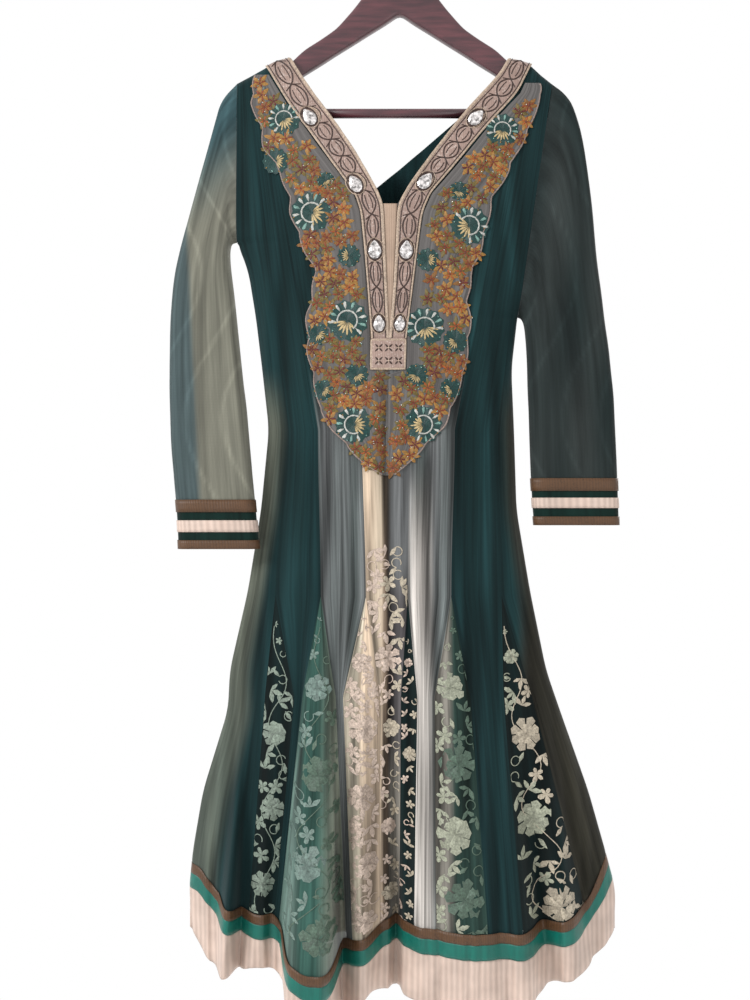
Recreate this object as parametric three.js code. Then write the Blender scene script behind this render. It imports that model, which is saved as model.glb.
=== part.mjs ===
// Anarkali kurta of net on a wooden hanger, in millimetres.
// +Z is up, -Y is the front of the dress, and the origin is the inside top of the hanger's hook.
// Left and right are those of somebody who faces the dress.
import * as THREE from 'three';

// Driving sizes
const NET = 1.2; // wall of the net panels and the lining
const APPLIQUE = 1.3; // wall of the bib before its flowers rise
const BAND = 2.0; // wall of the neck bands
const RIBBON = 1.0; // wall of the ribbons at the hem and the cuffs
const SEAM = 0.2; // half of the gap at a seam, along X
const MIDDLE = 0.3; // half of the gap between front and back, along Y
const WAIST_Z = -643;
const KNEE_Z = -850; // where the godets are let in
const SHIN_Z = -972;
const HEM_Z = -1280;
const RIBBON_RISE = 29; // the hem's two ribbons together
const TEAL_RISE = 18;
const RIBBON_LIFT = 0.5;
const SHOULDER_ROLL = 12; // radius of the cloth over the hanger's arms
const ARM_DEPTH = 14; // half of the depth at the armholes
const UNDERARM_ROLL = 60; // height over which an armhole reaches that depth
const BULGE = 2.4; // how square the front and the back are across
const WAVE = 0.5; // finest step at which the cloth's slope is read
const ARMHOLE = {
  left: { top: [-205, -202], low: [-207, -404] },
  right: { top: [192, -203], low: [149, -499] },
};

// Outline below the armholes and the depth of the front and the back
const SIDES = [
  { z: -404, left: -207, right: 163 },
  { z: -438, left: -193, right: 158 },
  { z: -499, left: -183, right: 149 },
  { z: -565, left: -175, right: 141.5 },
  { z: -641, left: -166.5, right: 144.8 },
  { z: -743, left: -176.5, right: 148 },
  { z: -845, left: -193, right: 165 },
  { z: -946, left: -216, right: 185.5 },
  { z: -997, left: -218.5, right: 203 },
  { z: -1099, left: -250, right: 239 },
  { z: -1175, left: -263, right: 260.5 },
  { z: -1225, left: -268, right: 274 },
  { z: -1290, left: -262, right: 271 },
  { z: -1350, left: -252, right: 262 },
];
const DEPTHS = [
  { z: -172, front: 14, back: 14 },
  { z: -300, front: 25, back: 20 },
  { z: -404, front: 33, back: 25 },
  { z: -560, front: 37, back: 28 },
  { z: -743, front: 38, back: 30 },
  { z: -850, front: 44, back: 38 },
  { z: -1000, front: 54, back: 52 },
  { z: -1290, front: 62, back: 66 },
  { z: -1360, front: 62, back: 66 },
];
// Shoulder line, front neck edge and back neck edge
const SHOULDER = [
  { x: -230, z: -222 },
  { x: -205, z: -202 },
  { x: -188, z: -193 },
  { x: -172, z: -184 },
  { x: -157, z: -175 },
  { x: -140, z: -172 },
  { x: 138, z: -173 },
  { x: 148, z: -174 },
  { x: 163, z: -178 },
  { x: 178, z: -192 },
  { x: 192, z: -203 },
  { x: 220, z: -222 },
];
const NECK_LEFT = [[-140, -172], [-133.5, -182]];
const NECK_RIGHT = [[138, -173], [132, -182.2]];
const FRONT_NECK = [
  { x: -140, z: -172 },
  { x: -112, z: -215 },
  { x: -83, z: -254 },
  { x: -57, z: -293 },
  { x: -29, z: -344 },
  { x: -21.8, z: -362 },
  { x: -3.7, z: -362 },
  { x: 12, z: -335 },
  { x: 40, z: -295.5 },
  { x: 82.5, z: -241 },
  { x: 122, z: -197.5 },
  { x: 138, z: -173 },
];
const BACK_NECK = [
  { x: -140, z: -172 },
  { x: -112, z: -216 },
  { x: -83, z: -257 },
  { x: -57, z: -295 },
  { x: -33, z: -331 },
  { x: 30, z: -280 },
  { x: 91, z: -228 },
  { x: 138, z: -173 },
];
// Lower edge of the teal ribbon, and how far the silk border hangs under it
const FRONT_HEM = [
  { x: -268, z: -1218, silk: 50 },
  { x: -253, z: -1219, silk: 70 },
  { x: -239, z: -1234, silk: 76 },
  { x: -214, z: -1254, silk: 56 },
  { x: -177, z: -1266, silk: 34 },
  { x: -152, z: -1266, silk: 40 },
  { x: -136, z: -1298, silk: 58 },
  { x: -110, z: -1312, silk: 60 },
  { x: -84, z: -1312, silk: 58 },
  { x: -68, z: -1290, silk: 52 },
  { x: -40, z: -1282, silk: 40 },
  { x: -16, z: -1270, silk: 56 },
  { x: 5, z: -1268, silk: 60 },
  { x: 58, z: -1272, silk: 62 },
  { x: 149, z: -1277, silk: 60 },
  { x: 191, z: -1270, silk: 48 },
  { x: 227, z: -1260, silk: 44 },
  { x: 246, z: -1238, silk: 56 },
  { x: 270, z: -1205, silk: 66 },
];
const BACK_HEM = [
  { x: -268, z: -1218, silk: 50 },
  { x: -200, z: -1240, silk: 58 },
  { x: 0, z: -1258, silk: 58 },
  { x: 210, z: -1240, silk: 58 },
  { x: 270, z: -1205, silk: 66 },
];
// Seams, each with the two edges of the godet let in below the knee
const FRONT_SEAMS = [
  { top: -190, waist: -140, knee: -156, shin: [-168, -131], hem: [-190, -158] },
  { top: -176, waist: -102.6, knee: -99, shin: [-121, -80], hem: [-153, -66] },
  { top: -30, waist: -48, knee: -43, shin: [-71, -26], hem: [-58, -26] },
  { top: 6, waist: 10.5, knee: 8.7, shin: [0, 20], hem: [-2.5, 14] },
  { top: 156, waist: 67.5, knee: 62.5, shin: [41, 85], hem: [41, 104.5] },
  { top: 180, waist: 120.6, knee: 126, shin: [127, 163], hem: [147, 239] },
];
const BACK_SEAMS = [
  { top: -180, waist: -108, knee: -122, shin: [-139, -107], hem: [-184, -116] },
  { top: -60, waist: -44, knee: -46, shin: [-63, -32], hem: [-90, -30] },
  { top: 36, waist: 30, knee: 32, shin: [16, 48], hem: [22, 82] },
  { top: 166, waist: 96, knee: 108, shin: [94, 125], hem: [112, 180] },
];
// Folds: where the ridge starts and how it runs, spreads and stands out towards the hem
const FRONT_FOLDS = [
  { start: -980, shin: -190, hem: -215, half: 18, depth: 36, flat: 2 },
  { start: -930, shin: -150, hem: -178, half: 22, depth: 10, flat: 2 },
  { start: -850, shin: -101, hem: -110, half: 39, depth: 74, flat: 5 },
  { start: -900, shin: -52, hem: -48, half: 27, depth: 32, flat: 2 },
  { start: -930, shin: -8, hem: -6, half: 11, depth: -21, flat: 2 },
  { start: -870, shin: 12, hem: 22, half: 24, depth: 12, flat: 2 },
  { start: -850, shin: 64, hem: 85, half: 108, depth: 46, flat: 2 },
  { start: -900, shin: 120, hem: 149, half: 30, depth: 22, flat: 2 },
  { start: -950, shin: 168, hem: 205, half: 32, depth: 32, flat: 2 },
];
const BACK_FOLDS = [
  { start: -900, shin: -178, hem: -215, half: 30, depth: 18, flat: 2 },
  { start: -850, shin: -123, hem: -150, half: 36, depth: 32, flat: 2 },
  { start: -860, shin: -47, hem: -60, half: 34, depth: 28, flat: 2 },
  { start: -850, shin: 32, hem: 52, half: 34, depth: 30, flat: 2 },
  { start: -870, shin: 110, hem: 146, half: 36, depth: 30, flat: 2 },
  { start: -920, shin: 172, hem: 218, half: 28, depth: 20, flat: 2 },
];
// Rows of a wall, as shares of the way from one level to the next
const BODICE_ROWS = [0, 0.006, 0.018, 0.036, 0.14, 0.3, 0.52, 0.76];
const THIGH_ROWS = [0, 0.5];
const SKIRT_ROWS = [0, 0.15, 0.3, 0.53, 0.77];
const GODET_ROWS = [0.035, 0.15, 0.3, 0.53, 0.77];

// Colours
const cloth = (color, roughness = 0.9) =>
  new THREE.MeshStandardMaterial({ color, roughness, metalness: 0, side: THREE.DoubleSide });
const GREEN_NET = cloth(0x1f3b3c);
const GREY_NET = cloth(0x70777a);
const BEIGE_NET = cloth(0xa89a86);
const VINE_NET = cloth(0x4d6a62);
const OLIVE_NET = cloth(0x3c3f35);
const LINING = cloth(0x16302f, 0.7);
const BIB = cloth(0x8a6a3a, 0.8);
const SCROLL = cloth(0xa89587, 0.6);
const BEIGE_SILK = cloth(0xc3a794, 0.6);
const CREAM_SILK = cloth(0xd8c8b8, 0.6);
const BROCADE = cloth(0x5b4632, 0.6);
const TEAL_SATIN = cloth(0x055d58, 0.45);
const WOOD = new THREE.MeshStandardMaterial({ color: 0x4a2c2c, roughness: 0.4, metalness: 0 });
const STEEL = new THREE.MeshStandardMaterial({ color: 0xb9bcbf, roughness: 0.25, metalness: 1 });
const STONE = new THREE.MeshStandardMaterial({ color: 0xe9e6e2, roughness: 0.05, metalness: 0 });

// Small mathematics
const clamp = (value, low, high) => Math.min(high, Math.max(low, value));
const mix = (a, b, share) => a + (b - a) * share;
const smooth = (share) => {
  const t = clamp(share, 0, 1);
  return t * t * (3 - 2 * t);
};
// Quarter of a circle: 0 at 0, 1 from one radius on
const roll = (distance, radius) => {
  const t = clamp(distance / radius, 0, 1);
  return Math.sqrt(1 - (1 - t) ** 2);
};
// Reads one column of a table as a function of another, straight from row to row
function line(rows, from, to) {
  const sorted = [...rows].sort((a, b) => a[from] - b[from]);
  return (value) => {
    let i = 1;
    while (i < sorted.length - 1 && sorted[i][from] < value) i += 1;
    const [a, b] = [sorted[i - 1], sorted[i]];
    const share = clamp((value - a[from]) / (b[from] - a[from]), 0, 1);
    return mix(a[to], b[to], share);
  };
}
// The same with rounded corners
function curve(rows, from, to, span) {
  const straight = line(rows, from, to);
  const offsets = [-1, -0.5, 0, 0.5, 1];
  return (value) =>
    offsets.reduce((sum, k) => sum + straight(value + k * span), 0) / offsets.length;
}

// Outline and depth of the dress
const sideLeft = curve(SIDES, 'z', 'left', 14);
const sideRight = curve(SIDES, 'z', 'right', 14);
const frontDepth = curve(DEPTHS, 'z', 'front', 50);
const backDepth = curve(DEPTHS, 'z', 'back', 50);
const shoulder = line(SHOULDER, 'x', 'z');
const frontHem = curve(FRONT_HEM, 'x', 'z', 5);
const backHem = curve(BACK_HEM, 'x', 'z', 20);
const frontSilk = curve(FRONT_HEM, 'x', 'silk', 8);
const backSilk = curve(BACK_HEM, 'x', 'silk', 20);
const onArmhole = ({ top, low }, z) => mix(top[0], low[0], (z - top[1]) / (low[1] - top[1]));
function leftEdge(z) {
  return z > ARMHOLE.left.low[1] ? onArmhole(ARMHOLE.left, z) : sideLeft(z);
}
function rightEdge(z) {
  return z > ARMHOLE.right.low[1] ? onArmhole(ARMHOLE.right, z) : sideRight(z);
}
function foldsAt(folds, x, z) {
  let sum = 0;
  for (const fold of folds) {
    const grown = smooth((fold.start - z) / (fold.start - HEM_Z));
    const down = clamp((z - SHIN_Z) / (HEM_Z - SHIN_Z), -0.5, 1.2);
    const ridge = mix(fold.shin, fold.hem, down);
    const half = fold.half * mix(0.55, 1, clamp(down, 0, 1));
    const t = Math.abs(x - ridge) / half;
    if (t < 1) sum += fold.depth * grown * (1 - t ** fold.flat) ** 2;
  }
  return sum;
}
// Depth of one side of the dress at (x, z), from the middle plane
function depthAt(face, x, z) {
  const [left, right] = [leftEdge(z), rightEdge(z)];
  const across = clamp((2 * x - left - right) / (right - left), -1, 1);
  const { low } = across < 0 ? ARMHOLE.left : ARMHOLE.right;
  const above = z - low[1];
  const edge = above > 0 ? ARM_DEPTH * roll(above, UNDERARM_ROLL) : 0;
  const power = mix(0.5, 1, smooth(above / 50 + 0.2));
  const bulge = (1 - Math.abs(across) ** BULGE) ** power;
  const depth = face.depth(z);
  const cover = roll(shoulder(x) - z, SHOULDER_ROLL);
  return cover * (edge + (depth - edge) * bulge) + foldsAt(face.folds, x, z);
}
const FRONT = {
  sign: -1,
  depth: frontDepth,
  folds: FRONT_FOLDS,
  neck: FRONT_NECK,
  hem: frontHem,
  silk: frontSilk,
};
const BACK = {
  sign: 1,
  depth: backDepth,
  folds: BACK_FOLDS,
  neck: BACK_NECK,
  hem: backHem,
  silk: backSilk,
};
for (const face of [FRONT, BACK]) {
  const neck = line(face.neck, 'x', 'z');
  const [from, to] = [NECK_LEFT[0][0], NECK_RIGHT[0][0]];
  face.top = (x) => (x > from && x < to ? neck(x) : shoulder(x));
}
// Point on the outside of a side of the dress, moved out along its normal
function place(face, x, z, out = 0) {
  const depth = depthAt(face, x, z);
  const slopeX = (depthAt(face, x + WAVE, z) - depthAt(face, x - WAVE, z)) / (2 * WAVE);
  const slopeZ = (depthAt(face, x, z + WAVE) - depthAt(face, x, z - WAVE)) / (2 * WAVE);
  const normal = new THREE.Vector3(-slopeX, face.sign, -slopeZ).normalize();
  const point = new THREE.Vector3(x, face.sign * (MIDDLE + depth), z);
  point.addScaledVector(normal, out);
  const limit = out < 0 ? MIDDLE - 0.1 : MIDDLE;
  point.y = face.sign * Math.max(limit, face.sign * point.y);
  return point;
}

// Mesh from a grid of outer points and a grid of inner points, closed at every edge
const dress = new THREE.Group();
function addSolid(name, points, faces, material) {
  const geometry = new THREE.BufferGeometry();
  geometry.setAttribute(
    'position',
    new THREE.Float32BufferAttribute(points.flatMap((p) => [p.x, p.y, p.z]), 3),
  );
  let volume = 0;
  for (const [a, b, c] of faces) {
    volume += points[a].dot(points[b].clone().cross(points[c]));
  }
  const facing = volume < 0 ? faces.map(([a, b, c]) => [a, c, b]) : faces;
  geometry.setIndex(facing.flat());
  geometry.computeVertexNormals();
  const mesh = new THREE.Mesh(geometry, material);
  mesh.name = name;
  dress.add(mesh);
}
function addWall(name, outer, inner, material, ring = false) {
  const rows = outer.length;
  const cols = outer[0].length;
  const points = [...outer.flat(), ...inner.flat()];
  const at = (side, r, c) => side * rows * cols + r * cols + (c % cols);
  const faces = [];
  const quad = (a, b, c, d) => faces.push([a, b, c], [a, c, d]);
  const spans = ring ? cols : cols - 1;
  for (let r = 0; r < rows - 1; r += 1) {
    for (let c = 0; c < spans; c += 1) {
      quad(at(0, r, c), at(0, r + 1, c), at(0, r + 1, c + 1), at(0, r, c + 1));
      quad(at(1, r, c), at(1, r, c + 1), at(1, r + 1, c + 1), at(1, r + 1, c));
    }
  }
  for (let c = 0; c < spans; c += 1) {
    quad(at(0, 0, c), at(0, 0, c + 1), at(1, 0, c + 1), at(1, 0, c));
    const r = rows - 1;
    quad(at(0, r, c + 1), at(0, r, c), at(1, r, c), at(1, r, c + 1));
  }
  if (!ring) {
    for (let r = 0; r < rows - 1; r += 1) {
      const c = cols - 1;
      quad(at(0, r + 1, 0), at(0, r, 0), at(1, r, 0), at(1, r + 1, 0));
      quad(at(0, r, c), at(0, r + 1, c), at(1, r + 1, c), at(1, r, c));
    }
  }
  addSolid(name, points, faces, material);
}

// Seam lines: straight halves above the knee, a bow below it
function seamLine(seam, edge) {
  return (z) => {
    if (z > WAIST_Z) return mix(seam.waist, seam.top, (z - WAIST_Z) / (-200 - WAIST_Z));
    if (z > KNEE_Z) return mix(seam.knee, seam.waist, smooth((z - KNEE_Z) / (WAIST_Z - KNEE_Z)));
    const [shin, hem] = [seam.shin[edge], seam.hem[edge]];
    if (z > SHIN_Z) return mix(seam.knee, shin, (KNEE_Z - z) / (KNEE_Z - SHIN_Z));
    return mix(shin, hem, (SHIN_Z - z) / (SHIN_Z - HEM_Z));
  };
}
// Height of an edge of the dress on a column that leans with its seams
function heightOn(edge, xAt, start) {
  let z = start;
  for (let i = 0; i < 30; i += 1) z = mix(z, edge(xAt(z)), 0.6);
  return z;
}
// Columns of a panel: shares of its width, eased where it turns round a side
function columnShares(panel) {
  const shares = [];
  for (let i = 0; i <= panel.cols; i += 1) {
    const t = i / panel.cols;
    if (panel.ease === 'left') shares.push(1 - Math.cos((t * Math.PI) / 2));
    else if (panel.ease === 'right') shares.push(Math.sin((t * Math.PI) / 2));
    else shares.push(t);
  }
  for (const [x, z] of panel.pins ?? []) {
    const [a, b] = [panel.from(z) + SEAM, panel.to(z) - SEAM];
    const share = (x - a) / (b - a);
    const inside = shares.slice(1, -1);
    const gaps = inside.map((s) => Math.abs(s - share));
    shares[1 + gaps.indexOf(Math.min(...gaps))] = share;
  }
  return shares;
}
// Grid of [x, z] over a panel, row by row from its top to the hem
function panelGrid(face, panel) {
  const columns = columnShares(panel).map((share) => {
    const xAt = (z) => mix(panel.from(z) + SEAM, panel.to(z) - SEAM, share);
    const hem = heightOn(face.hem, xAt, HEM_Z);
    const ribbon = hem + RIBBON_RISE;
    const levels = [];
    if (panel.godet) {
      for (const t of GODET_ROWS) levels.push(mix(KNEE_Z, ribbon, t));
    } else {
      const top = heightOn(face.top, xAt, -250);
      for (const t of BODICE_ROWS) levels.push(mix(top, WAIST_Z, t));
      for (const t of THIGH_ROWS) levels.push(mix(WAIST_Z, KNEE_Z, t));
      for (const t of SKIRT_ROWS) levels.push(mix(KNEE_Z, ribbon, t));
    }
    levels.push(ribbon, hem + TEAL_RISE, hem);
    return levels.map((z) => [xAt(z), z]);
  });
  return columns[0].map((_, r) => columns.map((column) => column[r]));
}
const layGrid = (face, grid, out) => grid.map((row) => row.map(([x, z]) => place(face, x, z, out)));

function addFace(face, side, seams, shapes) {
  const edges = [side.left, ...seams.flatMap((s) => [seamLine(s, 0), seamLine(s, 1)]), side.right];
  const hemColumns = [];
  shapes.forEach((shape, i) => {
    const panel = { ...shape, from: edges[i], to: edges[i + 1] };
    const grid = panelGrid(face, panel);
    addWall(shape.name, layGrid(face, grid, 0), layGrid(face, grid, -NET), shape.material);
    const [ribbon, joint, hem] = grid.slice(-3);
    ribbon.forEach((top, c) => hemColumns.push({ ribbon: top, joint: joint[c], hem: hem[c] }));
  });
  return hemColumns;
}
const net = (name, cols, material, more = {}) => ({ name, cols, material, ...more });
const vine = (name, cols) => net(name, cols, VINE_NET, { godet: true });
const SIDE_EDGES = { left: leftEdge, right: rightEdge };
const frontColumns = addFace(FRONT, SIDE_EDGES, FRONT_SEAMS, [
  net('front_side_left', 6, GREEN_NET, { ease: 'left' }),
  vine('godet_front_1', 3),
  net('front_panel_left', 3, GREEN_NET),
  vine('godet_front_2', 10),
  net('front_centre_left', 8, GREY_NET, { pins: NECK_LEFT }),
  vine('godet_front_3', 4),
  net('front_centre', 6, BEIGE_NET, { pins: [[-21.8, -362], [-3.7, -362]] }),
  vine('godet_front_4', 2),
  net('front_centre_right', 8, GREY_NET, { pins: NECK_RIGHT }),
  vine('godet_front_5', 5),
  net('front_panel_right', 4, GREEN_NET),
  vine('godet_front_6', 6),
  net('front_side_right', 6, OLIVE_NET, { ease: 'right' }),
]);
const backColumns = addFace(BACK, SIDE_EDGES, BACK_SEAMS, [
  net('back_side_left', 6, GREEN_NET, { ease: 'left' }),
  vine('godet_back_1', 5),
  net('back_panel_left', 6, GREEN_NET, { pins: NECK_LEFT }),
  vine('godet_back_2', 5),
  net('back_centre', 5, GREEN_NET, { pins: [[-33, -331]] }),
  vine('godet_back_3', 5),
  net('back_panel_right', 6, GREEN_NET, { pins: NECK_RIGHT }),
  vine('godet_back_4', 5),
  net('back_side_right', 6, GREEN_NET, { ease: 'right' }),
]);

// Ribbons at the hem lie on the panels' own columns, and the silk border hangs from their edge
function addHem(face, tag, columns) {
  const strip = (name, high, low, trims, material) => {
    const lay = (out) => {
      const top = columns.map((column) => place(face, ...column[high], out));
      const end = columns.map((column) => place(face, ...column[low], out));
      return trims.map((share) => top.map((point, c) => point.clone().lerp(end[c], share)));
    };
    addWall(name, lay(RIBBON_LIFT + RIBBON), lay(RIBBON_LIFT), material);
  };
  strip(`hem_brown_${tag}`, 'ribbon', 'joint', [0, 0.97], BROCADE);
  strip(`hem_teal_${tag}`, 'joint', 'hem', [0.01, 1], TEAL_SATIN);
  const silk = [0, 0.5, 1].map((share) =>
    columns.map(({ ribbon, hem }) => {
      const lean = (hem[0] - ribbon[0]) / RIBBON_RISE;
      const drop = 0.5 + share * face.silk(hem[0]);
      return [hem[0] + lean * drop * 0.5, hem[1] - drop];
    }),
  );
  addWall(`hem_silk_${tag}`, layGrid(face, silk, 0), layGrid(face, silk, -NET), CREAM_SILK);
}
addHem(FRONT, 'front', frontColumns);
addHem(BACK, 'back', backColumns);

// Slip inside the dress, one tube
// side: room at its sides; sewn: the same where it is stitched in under the left arm;
// depth: share of the dress's depth
const SLIP = { side: 9, sewn: 0.7, depth: 0.52, around: 22 };
function addLining() {
  const levels = [-432, -520, WAIST_Z, -770, -880, -1000, -1120, -1228];
  const tube = (inset) =>
    levels.map((z) => {
      const left = leftEdge(z) + (z === levels[0] ? SLIP.sewn : SLIP.side);
      const right = rightEdge(z) - SLIP.side;
      const half = (right - left) / 2 - inset;
      const middle = (right + left) / 2;
      return Array.from({ length: SLIP.around }, (_, i) => {
        const turn = (i / SLIP.around) * Math.PI * 2;
        const face = Math.sin(turn) > 0 ? BACK : FRONT;
        const depth = SLIP.depth * face.depth(z) - inset;
        return new THREE.Vector3(
          middle + half * Math.cos(turn),
          depth * Math.sign(Math.sin(turn)) * Math.abs(Math.sin(turn)) ** 0.9,
          z,
        );
      });
    });
  addWall('lining', tube(0), tube(NET), LINING, true);
}
addLining();

// Sleeves: flattened rings between an outer and an inner line
const SLEEVE_LEFT = [
  { outX: -205.5, outZ: -202, inX: -207.5, inZ: -404, depth: 14, lean: 0 },
  { outX: -226, outZ: -223, inX: -211, inZ: -404.6, depth: 15, lean: 0 },
  { outX: -234, outZ: -248, inX: -213, inZ: -406, depth: 16, lean: 0 },
  { outX: -249, outZ: -304, inX: -215, inZ: -410, depth: 17, lean: 0 },
  { outX: -264, outZ: -363, inX: -215.5, inZ: -422, depth: 17, lean: -1 },
  { outX: -279, outZ: -413, inX: -214, inZ: -440, depth: 16, lean: -3 },
  { outX: -288, outZ: -464, inX: -209, inZ: -475, depth: 15, lean: -6 },
  { outX: -291, outZ: -540, inX: -202, inZ: -540, depth: 14, lean: -12 },
  { outX: -289, outZ: -616, inX: -193, inZ: -616, depth: 14, lean: -20 },
  { outX: -284, outZ: -690, inX: -185.5, inZ: -690, depth: 13, lean: -27 },
  { outX: -278, outZ: -746, inX: -179.5, inZ: -746, depth: 13, lean: -31 },
  { outX: -275.6, outZ: -791, inX: -175.5, inZ: -791, depth: 13, lean: -33 },
];
const SLEEVE_RIGHT = [
  { outX: 192.5, outZ: -203, inX: 149.5, inZ: -499, depth: 14, lean: 0 },
  { outX: 209, outZ: -215, inX: 151.5, inZ: -499.6, depth: 15, lean: 0 },
  { outX: 223.5, outZ: -237, inX: 153, inZ: -500.4, depth: 16, lean: 0 },
  { outX: 234, outZ: -286, inX: 154.5, inZ: -502, depth: 17, lean: 0 },
  { outX: 242, outZ: -350, inX: 156, inZ: -505, depth: 18, lean: 0 },
  { outX: 247.5, outZ: -413, inX: 157.5, inZ: -510, depth: 18, lean: -1 },
  { outX: 255, outZ: -470, inX: 159, inZ: -520, depth: 17, lean: -2 },
  { outX: 262.5, outZ: -530, inX: 160.5, inZ: -545, depth: 16, lean: -4 },
  { outX: 270, outZ: -604, inX: 162, inZ: -604, depth: 15, lean: -7 },
  { outX: 273, outZ: -667, inX: 163.5, inZ: -667, depth: 14, lean: -9 },
  { outX: 274.5, outZ: -718, inX: 165.5, inZ: -718, depth: 13, lean: -10 },
  { outX: 275.6, outZ: -762, inX: 169, inZ: -762, depth: 13, lean: -10 },
];
const RING_SHARES = [0, 0.03, 0.1, 0.26, 0.5, 0.74, 0.9, 0.97, 1];
function sleeveRing(row, grow) {
  const outer = new THREE.Vector3(row.outX, 0, row.outZ);
  const inner = new THREE.Vector3(row.inX, 0, row.inZ);
  const across = inner.clone().sub(outer);
  const width = across.length() + 2 * grow;
  across.normalize();
  outer.addScaledVector(across, -grow);
  const depth = row.depth + grow;
  const lowRadius = mix(14, 60, smooth((width - 110) / 80));
  const at = (share, sign) => {
    const swell = roll(share * width, SHOULDER_ROLL) * roll((1 - share) * width, lowRadius);
    const point = outer.clone().addScaledVector(across, share * width);
    point.y = row.lean + sign * depth * swell;
    return point;
  };
  const front = RING_SHARES.map((share) => at(share, -1));
  const back = RING_SHARES.slice(1, -1).reverse().map((share) => at(share, 1));
  return [...front, ...back];
}
// Each sleeve is joined at the elbow, at the row of this number
const ELBOW = { row: 6, gap: 0.3 };
function addSleeve(name, rows) {
  const tube = (tag, part) => {
    const rings = (grow) => part.map((row) => sleeveRing(row, grow));
    addWall(`${name}_${tag}`, rings(0), rings(-NET), GREEN_NET, true);
  };
  const joint = rows[ELBOW.row];
  const below = { ...joint, outZ: joint.outZ - ELBOW.gap, inZ: joint.inZ - ELBOW.gap };
  tube('upper', rows.slice(0, ELBOW.row + 1));
  tube('lower', [below, ...rows.slice(ELBOW.row + 1)]);
}
addSleeve('sleeve_left', SLEEVE_LEFT);
addSleeve('sleeve_right', SLEEVE_RIGHT);

// Cuff ribbons round the ends of the sleeves
function rowAt(rows, z) {
  const row = {};
  for (const key of ['outX', 'inX', 'depth', 'lean']) row[key] = line(rows, 'outZ', key)(z);
  return { ...row, outZ: z, inZ: z };
}
function addCuff(name, rows, high, low, material) {
  const tube = (grow) => [high, low].map((z) => sleeveRing(rowAt(rows, z), grow));
  addWall(name, tube(0.5 + RIBBON), tube(0.5), material, true);
}
addCuff('cuff_left_top', SLEEVE_LEFT, -730, -745.5, BROCADE);
addCuff('cuff_left_silk', SLEEVE_LEFT, -755.5, -770, CREAM_SILK);
addCuff('cuff_left_end', SLEEVE_LEFT, -780, -791, BROCADE);
addCuff('cuff_right_top', SLEEVE_RIGHT, -703, -719, BROCADE);
addCuff('cuff_right_silk', SLEEVE_RIGHT, -727.5, -740.5, CREAM_SILK);
addCuff('cuff_right_end', SLEEVE_RIGHT, -751, -762, BROCADE);

// Neck bands, from the shoulder down the neck edge and the placket
const BAND_LEFT = [
  { down: 0, inX: -139.5, inZ: -172.5, outX: -169, outZ: -184.5 },
  { down: 1, inX: -112, inZ: -215, outX: -141, outZ: -232 },
  { down: 2, inX: -83, inZ: -254, outX: -111, outZ: -273 },
  { down: 3, inX: -57, inZ: -293, outX: -84, outZ: -311 },
  { down: 4, inX: -29, inZ: -344, outX: -57, outZ: -348 },
  { down: 5, inX: -21.8, inZ: -363, outX: -49, outZ: -372 },
  { down: 6, inX: -19.6, inZ: -420, outX: -44.5, outZ: -420 },
  { down: 7, inX: -17.2, inZ: -475, outX: -40, outZ: -475 },
  { down: 8, inX: -15.1, inZ: -530, outX: -35.5, outZ: -530 },
];
const BAND_RIGHT = [
  { down: 0, inX: 137.5, inZ: -173.5, outX: 165, outZ: -182 },
  { down: 1, inX: 122, inZ: -197.5, outX: 147, outZ: -219 },
  { down: 2, inX: 82.5, inZ: -241, outX: 108, outZ: -262 },
  { down: 3, inX: 40, inZ: -295.5, outX: 65, outZ: -315 },
  { down: 4, inX: 12, inZ: -335, outX: 37.5, outZ: -347 },
  { down: 5, inX: -3.7, inZ: -363, outX: 27, outZ: -372 },
  { down: 6, inX: -6, inZ: -420, outX: 20.4, outZ: -420 },
  { down: 7, inX: -9, inZ: -475, outX: 13.5, outZ: -475 },
  { down: 8, inX: -13.9, inZ: -530, outX: 6.6, outZ: -530 },
];
const BAND_LIFT = 0.7;
const BAND_STEPS = [0, 0.05, 0.13, 0.28, 0.6, 1, 1.5, 2, 2.5, 3, 3.5, 4, 4.5, 5, 5.5, 6, 7, 8];
function bandGrid(rows) {
  const [inX, inZ, outX, outZ] = ['inX', 'inZ', 'outX', 'outZ'].map((key) => line(rows, 'down', key));
  return BAND_STEPS.map((down) =>
    [0, 0.12, 0.5, 1].map((share) => [
      mix(inX(down), outX(down), share),
      mix(inZ(down), outZ(down), share),
    ]),
  );
}
function addBand(name, rows) {
  const grid = bandGrid(rows);
  const crown = [BAND - 0.4, BAND + 0.5, BAND, BAND - 0.4];
  const outer = grid.map((row) =>
    row.map(([x, z], c) => place(FRONT, x, z, BAND_LIFT + crown[c])),
  );
  addWall(name, outer, layGrid(FRONT, grid, BAND_LIFT), SCROLL);
}
addBand('neck_band_left', BAND_LEFT);
addBand('neck_band_right', BAND_RIGHT);
function addPatch(name, corners, lift, thick, material) {
  const grid = corners.map(([left, right, z]) => [0, 0.5, 1].map((t) => [mix(left, right, t), z]));
  addWall(name, layGrid(FRONT, grid, lift + thick), layGrid(FRONT, grid, lift), material);
}
const END = [[-35.5, 6.6, -530.6], [-36.5, 6.2, -550], [-37, 5.8, -569]];
addPatch('neck_band_end', END, BAND_LIFT, BAND, SCROLL);
const INSERT = [
  [-21.1, -4.4, -364],
  [-19, -6.6, -420],
  [-16.6, -9.6, -475],
  [-14.8, -14.2, -528],
];
addPatch('placket_insert', INSERT, BAND_LIFT, 1.0, BEIGE_SILK);

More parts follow.
